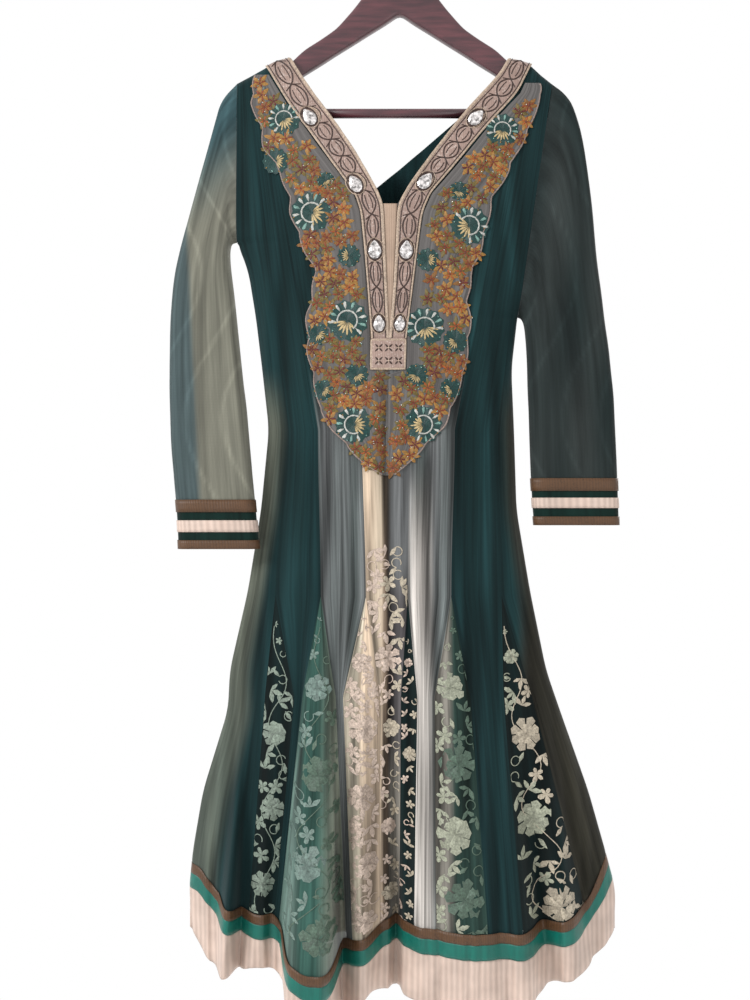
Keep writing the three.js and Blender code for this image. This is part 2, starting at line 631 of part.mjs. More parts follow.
// Bib: embroidered net from the shoulder to a point under the placket, its flowers raised
const BIB_LEFT = [
  { z: -196, inner: -165, outer: -181 },
  { z: -232, inner: -143, outer: -185 },
  { z: -262, inner: -120.5, outer: -172 },
  { z: -290, inner: -101, outer: -168 },
  { z: -322, inner: -77, outer: -146 },
  { z: -348, inner: -58.5, outer: -138 },
  { z: -372, inner: -49.8, outer: -134 },
  { z: -420, inner: -45.3, outer: -117 },
  { z: -447, inner: -43, outer: -102 },
  { z: -500, inner: -39, outer: -113 },
  { z: -540, inner: -37.5, outer: -114 },
  { z: -571, inner: -38, outer: -107 },
  { z: -572, inner: -15.4, outer: -107 },
  { z: -618, inner: -15.4, outer: -98 },
  { z: -645, inner: -15.4, outer: -80 },
  { z: -667, inner: -15.4, outer: -62 },
  { z: -688, inner: -15.4, outer: -38 },
  { z: -700, inner: -15.4, outer: -22 },
];
const BIB_RIGHT = [
  { z: -206, inner: 157, outer: 175 },
  { z: -219, inner: 151, outer: 176 },
  { z: -262, inner: 111, outer: 160 },
  { z: -292, inner: 87, outer: 145 },
  { z: -318, inner: 65.5, outer: 133 },
  { z: -348, inner: 39.5, outer: 115 },
  { z: -372, inner: 28.5, outer: 108 },
  { z: -420, inner: 21.2, outer: 97 },
  { z: -452, inner: 17.5, outer: 84 },
  { z: -486, inner: 13.5, outer: 82 },
  { z: -522, inner: 8.4, outer: 84 },
  { z: -571, inner: 7.6, outer: 76 },
  { z: -572, inner: -14.6, outer: 76 },
  { z: -608, inner: -14.6, outer: 64 },
  { z: -640, inner: -14.6, outer: 50 },
  { z: -668, inner: -14.6, outer: 24 },
  { z: -688, inner: -14.6, outer: 2 },
  { z: -700, inner: -14.6, outer: -8 },
];
const FLOWERS = [
  { x: -111, z: -372, radius: 24 },
  { x: -66, z: -508, radius: 24 },
  { x: -58, z: -637, radius: 23 },
  { x: -146, z: -253, radius: 20 },
  { x: -158, z: -306, radius: 17 },
  { x: 88, z: -388, radius: 23 },
  { x: 30, z: -516, radius: 23 },
  { x: 28, z: -637, radius: 23 },
  { x: 128, z: -267, radius: 20 },
];
const SCALLOP = { pitch: 44, depth: 4 };
const BIB_LIFT = 0.9;
function raised(x, z) {
  let rise = 0;
  for (const flower of FLOWERS) {
    const t = Math.hypot(x - flower.x, z - flower.z) / flower.radius;
    if (t < 1) rise = Math.max(rise, 1.4 * Math.sqrt(1 - t * t));
  }
  return rise;
}
function addBib(name, rows) {
  const inner = line(rows, 'z', 'inner');
  const outer = line(rows, 'z', 'outer');
  const side = Math.sign(rows[0].outer);
  const [top, low] = [rows[0].z, rows.at(-1).z];
  const levels = (from, to, steps) =>
    Array.from({ length: steps + 1 }, (_, i) => mix(from, to, i / steps));
  const heights = [...levels(top, -571, 16), ...levels(-572, low, 7)];
  const grid = heights.map((z) => {
    const scallop = SCALLOP.depth * Math.abs(Math.sin((z / SCALLOP.pitch) * Math.PI));
    const edge = outer(z) + side * scallop * roll(top - z, 20) * roll(z - low, 30);
    return [0, 0.2, 0.4, 0.6, 0.8, 1].map((t) => [mix(inner(z), edge, t), z]);
  });
  const front = grid.map((row) =>
    row.map(([x, z]) => place(FRONT, x, z, BIB_LIFT + APPLIQUE + raised(x, z))),
  );
  addWall(name, front, layGrid(FRONT, grid, BIB_LIFT), BIB);
}
addBib('bib_left', BIB_LEFT);
addBib('bib_right', BIB_RIGHT);

// Pear stones set on the bands, points up along the band
const STONES = [
  { name: 'crystal_left_1', x: -114, z: -251, turn: 35, size: 15 },
  { name: 'crystal_left_2', x: -56.5, z: -337, turn: 32, size: 15 },
  { name: 'crystal_left_3', x: -32, z: -420, turn: 2, size: 15 },
  { name: 'crystal_left_4', x: -26.8, z: -512, turn: 2, size: 14 },
  { name: 'crystal_right_1', x: 95, z: -252, turn: -43, size: 15 },
  { name: 'crystal_right_2', x: 31, z: -333, turn: -38, size: 15 },
  { name: 'crystal_right_3', x: 7, z: -420, turn: -4, size: 15 },
  { name: 'crystal_right_4', x: -1, z: -512, turn: -5, size: 13 },
];
const HALF_PEAR = [[0.3, 0.36], [0.48, 0], [0.4, -0.32]];
const PEAR = [
  [0, 0.72],
  ...HALF_PEAR,
  [0, -0.54],
  ...HALF_PEAR.map(([across, along]) => [-across, along]).reverse(),
];
function addStone({ name, x, z, turn, size }) {
  const angle = THREE.MathUtils.degToRad(turn);
  const ring = (scale, lift) =>
    PEAR.map(([across, along]) => {
      const a = across * scale * size;
      const b = along * scale * size;
      const px = x + a * Math.cos(angle) - b * Math.sin(angle);
      const pz = z + a * Math.sin(angle) + b * Math.cos(angle);
      return place(FRONT, px, pz, BAND_LIFT + BAND + lift);
    });
  const base = ring(0.8, 0.5);
  const girdle = ring(1, 1.8);
  const table = ring(0.5, 3.6);
  const points = [...base, ...girdle, ...table];
  const n = PEAR.length;
  const faces = [];
  for (let i = 0; i < n; i += 1) {
    const j = (i + 1) % n;
    for (const level of [0, n]) {
      faces.push([level + i, level + j, level + n + j], [level + i, level + n + j, level + n + i]);
    }
    if (i > 0 && i < n - 1) {
      faces.push([0, i + 1, i], [2 * n, 2 * n + i, 2 * n + i + 1]);
    }
  }
  addSolid(name, points, faces, STONE);
}
STONES.forEach(addStone);

// Hanger: one bent wooden piece, its bar and its hook
const ARMS = [
  { x: 0, top: -61, under: -114, half: 9 },
  { x: 18, top: -66, under: -126.5, half: 9 },
  { x: 40, top: -84, under: -140, half: 8.5 },
  { x: 58, top: -108, under: -151.5, half: 8 },
  { x: 80, top: -133, under: -165, half: 7.5 },
  { x: 100, top: -147, under: -178, half: 7.5 },
  { x: 121, top: -160, under: -191, half: 7 },
  { x: 140, top: -178, under: -204, half: 7 },
  { x: 158, top: -185, under: -214, half: 7 },
  { x: 178, top: -198, under: -227, half: 7 },
  { x: 200, top: -215, under: -242, half: 7 },
  { x: 213, top: -227, under: -249, half: 6.5 },
  { x: 219, top: -236, under: -247, half: 5 },
];
function addArms() {
  const stations = [...ARMS.slice(1).reverse().map((row) => ({ ...row, x: -row.x })), ...ARMS];
  const sections = stations.map(({ x, top, under, half }) => {
    const edge = Math.min(4, (top - under) / 3);
    return [
      [-half, top - edge],
      [-half + 3, top],
      [half - 3, top],
      [half, top - edge],
      [half, under + edge],
      [half - 3, under],
      [-half + 3, under],
      [-half, under + edge],
    ].map(([y, z]) => new THREE.Vector3(x, y, z));
  });
  addLoft('hanger_arms', sections, WOOD);
}
function addLoft(name, sections, material) {
  const n = sections[0].length;
  const faces = [];
  for (let s = 0; s < sections.length - 1; s += 1) {
    for (let i = 0; i < n; i += 1) {
      const [a, b] = [s * n + i, s * n + ((i + 1) % n)];
      faces.push([a, b, b + n], [a, b + n, a + n]);
    }
  }
  const last = (sections.length - 1) * n;
  for (let i = 1; i < n - 1; i += 1) {
    faces.push([0, i + 1, i], [last, last + i, last + i + 1]);
  }
  addSolid(name, sections.flat(), faces, material);
}
addArms();
const BAR = { z: -239.5, radius: 6, around: 14, gap: 1 };
function addBar() {
  const under = line(ARMS, 'x', 'under');
  const endAt = (z) => {
    let x = 150;
    while (under(x) > z) x += 0.1;
    return x - BAR.gap;
  };
  const end = (side) =>
    Array.from({ length: BAR.around }, (_, i) => {
      const turn = (i / BAR.around) * Math.PI * 2;
      const z = BAR.z + BAR.radius * Math.sin(turn);
      return new THREE.Vector3(side * endAt(z), BAR.radius * Math.cos(turn), z);
    });
  addLoft('hanger_bar', [end(-1), end(1)], WOOD);
}
addBar();
const WIRE = { radius: 2, bend: 28, around: 8 };
function addHook() {
  const middle = -(WIRE.bend - WIRE.radius);
  const arc = (degrees) => {
    const turn = THREE.MathUtils.degToRad(degrees);
    return new THREE.Vector3(WIRE.bend * Math.cos(turn), 0, middle + WIRE.bend * Math.sin(turn));
  };
  const path = new THREE.CatmullRomCurve3([
    new THREE.Vector3(0, 0, ARMS[0].top + 0.4),
    new THREE.Vector3(0.6, 0, ARMS[0].top + 6),
    new THREE.Vector3(8, 0, -50),
    ...[-45, -20, 10, 40, 65, 90, 115, 140, 170, 195].map(arc),
  ]);
  const sections = path.getPoints(24).map((point, i, all) => {
    const ahead = all[Math.min(i + 1, all.length - 1)];
    const behind = all[Math.max(i - 1, 0)];
    const along = ahead.clone().sub(behind).normalize();
    const side = new THREE.Vector3(-along.z, 0, along.x);
    return Array.from({ length: WIRE.around }, (_, k) => {
      const turn = (k / WIRE.around) * Math.PI * 2;
      const ring = point.clone().addScaledVector(side, WIRE.radius * Math.cos(turn));
      ring.y += WIRE.radius * Math.sin(turn);
      return ring;
    });
  });
  sections[0].forEach((point) => {
    point.z = Math.max(point.z, ARMS[0].top + 0.4);
  });
  addLoft('hanger_hook', sections, STEEL);
}
addHook();

export default dress;
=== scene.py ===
"""Anarkali kurta of embroidered net on a wooden hanger, dressed and lit for one picture.

Garment sizes are in millimetres until a piece is laid on its form, and in metres after that.
Left and right are those of somebody who faces the dress.
"""

import logging
import math
from collections.abc import Callable, Sequence
from dataclasses import dataclass, field
from enum import Enum
from typing import NamedTuple

import bmesh
import bpy
import numpy as np
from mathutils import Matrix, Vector


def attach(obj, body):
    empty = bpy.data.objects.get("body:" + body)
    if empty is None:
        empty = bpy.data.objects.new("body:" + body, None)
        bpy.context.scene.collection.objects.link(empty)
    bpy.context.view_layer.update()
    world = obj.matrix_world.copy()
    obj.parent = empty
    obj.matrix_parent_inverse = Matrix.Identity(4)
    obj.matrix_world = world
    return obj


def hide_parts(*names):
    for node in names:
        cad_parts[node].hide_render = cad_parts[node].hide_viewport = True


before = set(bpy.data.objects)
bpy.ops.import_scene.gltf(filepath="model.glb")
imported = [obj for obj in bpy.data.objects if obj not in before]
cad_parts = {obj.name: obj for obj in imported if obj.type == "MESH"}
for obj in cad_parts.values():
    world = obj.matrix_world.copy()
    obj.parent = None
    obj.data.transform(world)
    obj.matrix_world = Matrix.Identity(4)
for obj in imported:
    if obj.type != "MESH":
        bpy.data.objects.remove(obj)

LOG = logging.getLogger("kurta")
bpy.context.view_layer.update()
LEAST_SIDE = 0.0101
LEAST_FILL = 0.31

Array = np.ndarray
Socket = bpy.types.NodeSocket
Material = bpy.types.Material
Piece = bpy.types.Object
Colour = tuple[float, float, float, float]
Lay = Callable[[Array], Array]
Shape = Callable[[Array, Array], Array]


# ---------------------------------------------------------------- small mathematics


def mix(a: Array, b: Array, share: Array) -> Array:
    """Blend a into b by share."""
    return a + (b - a) * share


def smooth(share: Array) -> Array:
    """Ease a share from 0 to 1."""
    t = np.clip(share, 0, 1)
    return t * t * (3 - 2 * t)


def roll(distance: Array, radius: Array) -> Array:
    """Rise along a quarter of a circle, from 0 to 1 at one radius."""
    t = np.clip(distance / radius, 0, 1)
    return np.sqrt(1 - (1 - t) ** 2)


def wander(a: Array, b: Array, seed: float) -> Array:
    """Smooth unevenness between about -1 and 1 over two coordinates.

    Args:
        a: First coordinate, in waves.
        b: Second coordinate, in waves.
        seed: Number that tells one unevenness from another.

    Returns:
        The unevenness at each point.
    """
    first = np.sin(a * 6.1 + 1.7 * np.sin(b * 2.3 + seed) + seed)
    second = np.sin(b * 5.3 + 1.3 * np.sin(a * 3.7 - seed) + 2.1 * seed)
    return 0.5 * (first + second)


def tone(red: int, green: int, blue: int, cover: float = 1.0) -> Colour:
    """Turn a colour as seen on a screen, 0 to 255, into a linear one with its cover.

    Args:
        red: Red.
        green: Green.
        blue: Blue.
        cover: How much the cloth hides of what is behind it, 0 to 1.

    Returns:
        Linear red, green and blue, and the cover.
    """
    linear = [
        c / 12.92 if c <= 0.04045 else ((c + 0.055) / 1.055) ** 2.4
        for c in (red / 255, green / 255, blue / 255)
    ]
    return (linear[0], linear[1], linear[2], cover)


def step(value: Array, start: float, width: float) -> Array:
    """Ease from 0 to 1 as a value passes from start to start + width."""
    return smooth((value - start) / width)


@dataclass(frozen=True)
class Profile:
    """One size as a function of another, straight between its rows and rounded over a span."""

    at: tuple[float, ...]
    size: tuple[float, ...]
    span: float = 0.0

    def __call__(self, where: Array) -> Array:
        """Read the size at each place."""
        steps = (-1.0, -0.5, 0.0, 0.5, 1.0) if self.span else (0.0,)
        reads = [np.interp(where + k * self.span, self.at, self.size) for k in steps]
        return sum(reads) / len(reads)


def profile(rows: Sequence[tuple], key: str, size: str, span: float = 0.0) -> Profile:
    """Make a profile from two named columns of a table.

    Args:
        rows: Named tuples, in any order.
        key: Column to read by.
        size: Column that is read.
        span: Length over which corners are rounded.

    Returns:
        The profile.
    """
    ordered = sorted(rows, key=lambda row: getattr(row, key))
    return Profile(
        tuple(getattr(row, key) for row in ordered),
        tuple(getattr(row, size) for row in ordered),
        span,
    )


def even_profile(sizes: Sequence[float], span: float) -> Profile:
    """Make a profile over evenly numbered rows that runs on straight past both ends.

    Args:
        sizes: Size at row 0, 1, 2 and so on.
        span: Rows over which corners are rounded.

    Returns:
        The profile.
    """
    first, last = 2 * sizes[0] - sizes[1], 2 * sizes[-1] - sizes[-2]
    rows = tuple(float(i) for i in range(-1, len(sizes) + 1))
    return Profile(rows, (first, *sizes, last), span)


# ---------------------------------------------------------------- colours


class Dye(Enum):
    """Colours of the cloths and threads, and of the painted shadow in the front's deepest creases."""

    GREEN = tone(36, 71, 74)
    DEEP = tone(20, 46, 47)
    GREY = tone(90, 98, 97)
    LILAC = tone(110, 112, 113)
    DUSK = tone(80, 77, 78)
    PALE = tone(190, 184, 178)
    BEIGE = tone(200, 190, 170)
    PEACH = tone(230, 206, 180)
    GREIGE = tone(128, 134, 120, 0.92)
    OLIVE = tone(66, 64, 54, 0.96)
    SAGE = tone(61, 97, 88)
    MAUVE = tone(132, 128, 120)
    POND = tone(44, 66, 60)
    AQUA = tone(138, 164, 154)
    # Painted shadow for the dark creases of the front's middle panels.
    UMBER = tone(96, 78, 64)
    NIGHT = tone(22, 34, 34)
    CREAM = tone(226, 212, 188)
    LEAF_CREAM = tone(196, 200, 176)
    FADED_SAGE = tone(100, 126, 108)
    VEILED_LEAF = tone(160, 176, 160)
    ROSE = tone(246, 222, 204)
    SILK = tone(226, 208, 192)
    BUTTER = tone(240, 212, 156)
    GOLD = tone(190, 138, 62)
    OCHRE = tone(160, 108, 46)
    RUST = tone(158, 72, 34)
    ORANGE = tone(196, 100, 40)
    WINE = tone(120, 44, 44)
    MOSS = tone(132, 112, 50)
    TEAL = tone(6, 70, 66)
    MINT = tone(150, 196, 184)
    WHITE = tone(232, 232, 224)
    BAND = tone(176, 154, 144)
    PIPING = tone(222, 196, 172)
    SCROLL = tone(74, 50, 42)
    NET = tone(138, 134, 132)
    PLAIN = (1.0, 1.0, 1.0, 1.0)
    SLEEVE_TOP = tone(74, 106, 112, 0.95)
    SLEEVE_OUTER = tone(98, 116, 118, 0.93)
    SLEEVE_INNER = tone(162, 161, 145, 0.92)
    SLEEVE_DARK = tone(42, 56, 56, 0.96)
    SLEEVE_DUSTY = tone(68, 76, 75, 0.95)
    WRIST = tone(24, 54, 48)


def over(base: Array, dye: Dye, share: Array) -> Array:
    """Lay a dye over rows of colours, by a share for each row."""
    return mix(base, np.asarray(dye.value), share[:, None])


def blend(first: Dye, second: Dye, share: Array) -> Array:
    """Blend two dyes by a share for each point, as rows of four numbers."""
    t = np.clip(share, 0, 1)
    return over(np.tile(np.asarray(first.value), (len(t), 1)), second, t)


# ---------------------------------------------------------------- finishes


class Space(Enum):
    """What a texture follows: the object, the flat cloth, or the pleats that fan out on it."""

    OBJECT = "object"
    CLOTH = "cloth"
    PLEATS = "pleats"


class Graph:
    """A material's node tree, with short ways to add nodes and join them."""

    def __init__(self, name: str) -> None:
        """Start a material that has one Principled shader."""
        self.material = bpy.data.materials.new(name)
        self.material.use_nodes = True
        self.tree = self.material.node_tree
        self.tree.nodes.clear()
        output = self.tree.nodes.new("ShaderNodeOutputMaterial")
        self.shader = self.tree.nodes.new("ShaderNodeBsdfPrincipled")
        self.join(self.shader.outputs["BSDF"], output.inputs["Surface"])

    def join(self, source: Socket, target: Socket) -> None:
        """Link one socket to another."""
        self.tree.links.new(source, target)

    def add(self, kind: str, **settings: object) -> bpy.types.Node:
        """Add a node and set its properties.

        Args:
            kind: Blender's name of the node type.
            **settings: Properties of the node.

        Returns:
            The node.
        """
        node = self.tree.nodes.new(kind)
        for key, value in settings.items():
            setattr(node, key, value)
        return node

    def constants(self, **values: float) -> None:
        """Set plain numbers on the shader's own sockets, spaces written as underscores."""
        for key, value in values.items():
            self.shader.inputs[key.replace("_", " ")].default_value = value

    def coordinates(self, stretch: Sequence[float], space: Space = Space.OBJECT) -> Socket:
        """Give coordinates in metres, stretched.

        Args:
            stretch: Scale along each axis.
            space: What the coordinates follow.

        Returns:
            The vector socket.
        """
        mapping = self.add("ShaderNodeMapping")
        mapping.inputs["Scale"].default_value = stretch
        if space is Space.CLOTH:
            source = self.add("ShaderNodeUVMap", uv_map="Cloth").outputs[0]
        elif space is Space.PLEATS:
            source = self.add("ShaderNodeAttribute", attribute_name="Thread").outputs["Vector"]
        else:
            source = self.add("ShaderNodeTexCoord").outputs["Object"]
        self.join(source, mapping.inputs[0])
        return mapping.outputs[0]

    def noise(self, where: Socket, scale: float, detail: float = 3.0) -> Socket:
        """Give a noise value over some coordinates."""
        node = self.add("ShaderNodeTexNoise")
        node.inputs["Scale"].default_value = scale
        node.inputs["Detail"].default_value = detail
        self.join(where, node.inputs["Vector"])
        return node.outputs["Fac"]

    def wave(self, where: Socket, scale: float, along: str, wobble: float = 0.0) -> Socket:
        """Give even bands across one axis of some coordinates."""
        node = self.add("ShaderNodeTexWave", bands_direction=along)
        node.inputs["Scale"].default_value = scale
        node.inputs["Distortion"].default_value = wobble
        self.join(where, node.inputs["Vector"])
        return node.outputs["Fac"]

    def calc(self, how: str, a: Socket, b: Socket | float) -> Socket:
        """Work out one number from two."""
        node = self.add("ShaderNodeMath", operation=how)
        self.join(a, node.inputs[0])
        if isinstance(b, (int, float)):
            node.inputs[1].default_value = b
        else:
            self.join(b, node.inputs[1])
        return node.outputs[0]

    def span(
        self, value: Socket, low: float, high: float, start: float = 0.0
    ) -> Socket:
        """Map a value from start..1-start to low..high, held at both ends."""
        node = self.add("ShaderNodeMapRange")
        node.inputs["From Min"].default_value = start
        node.inputs["From Max"].default_value = 1 - start
        node.inputs["To Min"].default_value = low
        node.inputs["To Max"].default_value = high
        self.join(value, node.inputs["Value"])
        return node.outputs["Result"]

    def dyed(self, share: Socket, first: Colour, second: Colour) -> Socket:
        """Blend two plain colours by a share."""
        node = self.add("ShaderNodeMix", data_type="RGBA")
        node.inputs[6].default_value = (*first[:3], 1)
        node.inputs[7].default_value = (*second[:3], 1)
        self.join(share, node.inputs[0])
        return node.outputs[2]

    def shaded(self, colour: Socket, strength: Socket) -> Socket:
        """Multiply a colour by a number."""
        node = self.add("ShaderNodeVectorMath", operation="SCALE")
        self.join(colour, node.inputs[0])
        self.join(strength, node.inputs["Scale"])
        return node.outputs[0]

    def bump(self, height: Socket, depth: float, strength: float = 1.0) -> None:
        """Give the shader a bump of a depth in metres."""
        node = self.add("ShaderNodeBump")
        node.inputs["Distance"].default_value = depth
        node.inputs["Strength"].default_value = strength
        self.join(height, node.inputs["Height"])
        self.join(node.outputs["Normal"], self.shader.inputs["Normal"])


@dataclass(frozen=True)
class NetFinish:
    """Dyed net: its colour comes from the piece's Tint, its mesh from the UV map."""

    name: str
    holes: float = 0.0014
    streak: float = 0.3
    sheen: float = 0.06
    depth: float = 0.4

    def make(self) -> Material:
        """Build the material."""
        g = Graph(self.name)
        g.constants(Roughness=0.85, Sheen_Weight=self.sheen, Sheen_Roughness=0.5, Specular_IOR_Level=0.1)
        tint = g.add("ShaderNodeAttribute", attribute_name="Tint")
        cloth = g.coordinates((1, 1, 1), Space.CLOTH)
        fine = g.noise(g.coordinates((1, 0.03, 1), Space.PLEATS), 240, 3)
        broad = g.noise(g.coordinates((1, 0.05, 1), Space.PLEATS), 60, 3)
        scale = 0.314 / self.holes
        mesh = g.calc("MULTIPLY", g.wave(cloth, scale, "X"), g.wave(cloth, scale, "Y"))
        # Painted crease shade: fine and broad streaks along the pleats darken and lighten the Tint.
        light = g.calc(
            "ADD",
            g.span(fine, -0.6 * self.streak, 0.6 * self.streak, 0.3),
            g.span(broad, 1 - 1.2 * self.streak, 1 + 1.2 * self.streak, 0.3),
        )
        light = g.calc("MULTIPLY", g.calc("MAXIMUM", light, 0.25), g.span(mesh, 0.92 * self.depth, 1.1 * self.depth))
        g.join(g.shaded(tint.outputs["Color"], light), g.shader.inputs["Base Color"])
        g.join(tint.outputs["Alpha"], g.shader.inputs["Alpha"])
        g.bump(g.calc("ADD", mesh, fine), 0.0003, 0.5)
        return g.material


@dataclass(frozen=True)
class ThreadFinish:
    """Embroidery thread: tinted stitches that run along each petal, leaf and cord."""

    name: str
    shine: float = 0.45
    metal: float = 0.0
    stitch: float = 5.0

    def make(self) -> Material:
        """Build the material."""
        g = Graph(self.name)
        g.constants(Roughness=self.shine, Metallic=self.metal, Specular_IOR_Level=0.4)
        tint = g.add("ShaderNodeAttribute", attribute_name="Tint")
        thread = g.add("ShaderNodeAttribute", attribute_name="Thread")
        rows = g.wave(thread.outputs["Vector"], self.stitch / 6.3, "X", 1.0)
        fleck = g.noise(g.coordinates((1, 1, 1)), 420, 2)
        light = g.calc("MULTIPLY", g.span(rows, 0.42, 0.68), g.span(fleck, 0.5, 1.4, 0.2))
        g.join(g.shaded(tint.outputs["Color"], light), g.shader.inputs["Base Color"])
        g.bump(rows, 0.0002, 0.6)
        return g.material


@dataclass(frozen=True)
class WovenFinish:
    """Silk, satin or brocade ribbon: two yarn colours, a rib, and painted fold shade along the UV map."""

    name: str
    warp: Colour
    weft: Colour
    rib: float = 900.0
    figure: float = 0.0
    roughness: float = 0.5
    sheen: float = 0.2
    depth: float = 0.0002

    def make(self) -> Material:
        """Build the material."""
        g = Graph(self.name)
        g.constants(Roughness=self.roughness, Sheen_Weight=self.sheen, Specular_IOR_Level=0.4)
        cloth = g.coordinates((1, 1, 1), Space.CLOTH)
        rib = g.wave(cloth, self.rib / 6.3, "X", 0.8)
        streaks = g.noise(g.coordinates((1, 0.1, 1), Space.CLOTH), 220, 4)
        share = streaks
        if self.figure:
            checks = g.add("ShaderNodeTexVoronoi", feature="F1")
            checks.inputs["Scale"].default_value = self.figure
            g.join(cloth, checks.inputs["Vector"])
            share = g.calc("MULTIPLY", g.calc("ADD", streaks, checks.outputs["Distance"]), 1.1)
        colour = g.dyed(share, self.warp, self.weft)
        # Painted shade on the rib and in broad patches where folds would be.
        light = g.calc("MULTIPLY", g.span(rib, 0.86, 1.06), g.span(g.noise(cloth, 30, 2), 0.5, 0.74, 0.2))
        g.join(g.shaded(colour, light), g.shader.inputs["Base Color"])
        g.bump(g.calc("ADD", rib, streaks), self.depth, 0.8)
        return g.material


@dataclass(frozen=True)
class WoodFinish:
    """Dark varnished wood with its grain along the hanger."""

    name: str
    dark: Colour
    pale: Colour

    def make(self) -> Material:
        """Build the material."""
        g = Graph(self.name)
        g.constants(Roughness=0.32, Coat_Weight=0.35, Coat_Roughness=0.2, Specular_IOR_Level=0.5)
        grain = g.noise(g.coordinates((0.12, 1, 1)), 190, 6)
        pores = g.noise(g.coordinates((0.05, 1, 1)), 900, 2)
        colour = g.dyed(g.span(grain, -0.3, 1.3), self.dark, self.pale)
        g.join(g.shaded(colour, g.span(pores, 0.8, 1.15)), g.shader.inputs["Base Color"])
        g.bump(g.calc("ADD", grain, pores), 0.0003, 0.35)
        return g.material


@dataclass(frozen=True)
class GlossFinish:
    """Polished wire, sequins or cut stones."""

    name: str
    colour: Colour
    metal: float = 1.0
    roughness: float = 0.2
    clear: float = 0.0
    sparkle: float = 0.1

    def make(self) -> Material:
        """Build the material."""
        g = Graph(self.name)
        g.constants(Metallic=self.metal, Transmission_Weight=self.clear, IOR=1.5)
        scuffs_and_glints = g.noise(g.coordinates((1, 1, 1)), 300, 4)
        # By the sparkle, the colour gets painted glints and painted dark reflections, mixed with scuffs.
        pale = tuple(min(1.0, (1 + self.sparkle) * c) for c in self.colour[:3])
        dark = tuple((1 - self.sparkle) * c for c in self.colour[:3])
        g.join(g.dyed(g.span(scuffs_and_glints, 0, 1, 0.35), (*dark, 1), (*pale, 1)), g.shader.inputs["Base Color"])
        spread = g.span(scuffs_and_glints, 0.6 * self.roughness, 1.4 * self.roughness)
        g.join(spread, g.shader.inputs["Roughness"])
        return g.material


@dataclass(frozen=True)
class FloorFinish:
    """Plain pale floor."""

    name: str

    def make(self) -> Material:
        """Build the material."""
        g = Graph(self.name)
        g.constants(Roughness=0.9)
        mottle = g.noise(g.coordinates((1, 1, 1)), 3, 3)
        g.join(g.dyed(mottle, (0.86, 0.86, 0.85, 1), (0.9, 0.9, 0.89, 1)), g.shader.inputs["Base Color"])
        return g.material


# ---------------------------------------------------------------- shape of the hung dress


class Side(Enum):
    """Which half of the dress a piece belongs to, as the sign of its depth."""

    FRONT = -1
    BACK = 1


class SideRow(NamedTuple):
    """Outline below the armholes."""

    z: float
    left: float
    right: float


class DepthRow(NamedTuple):
    """Depth of the front and the back from the middle plane."""

    z: float
    front: float
    back: float


class Edge(NamedTuple):
    """Point of the shoulder line or a neck edge."""

    x: float
    z: float


class HemRow(NamedTuple):
    """Lower edge of the teal ribbon and the drop of the silk under it."""

    x: float
    z: float
    silk: float


class Seam(NamedTuple):
    """Seam between two panels, with both edges of the godet in it below the knee."""

    top: float
    waist: float
    knee: float
    shin: tuple[float, float]
    hem: tuple[float, float]


class Fold(NamedTuple):
    """Large fold: where its ridge starts and runs, its half width and how far it stands out."""

    start: float
    shin: float
    hem: float
    half: float
    depth: float
    flat: float


class Crease(NamedTuple):
    """Soft crease from one point to another, with its half width and its height."""

    x0: float
    z0: float
    x1: float
    z1: float
    half: float
    height: float


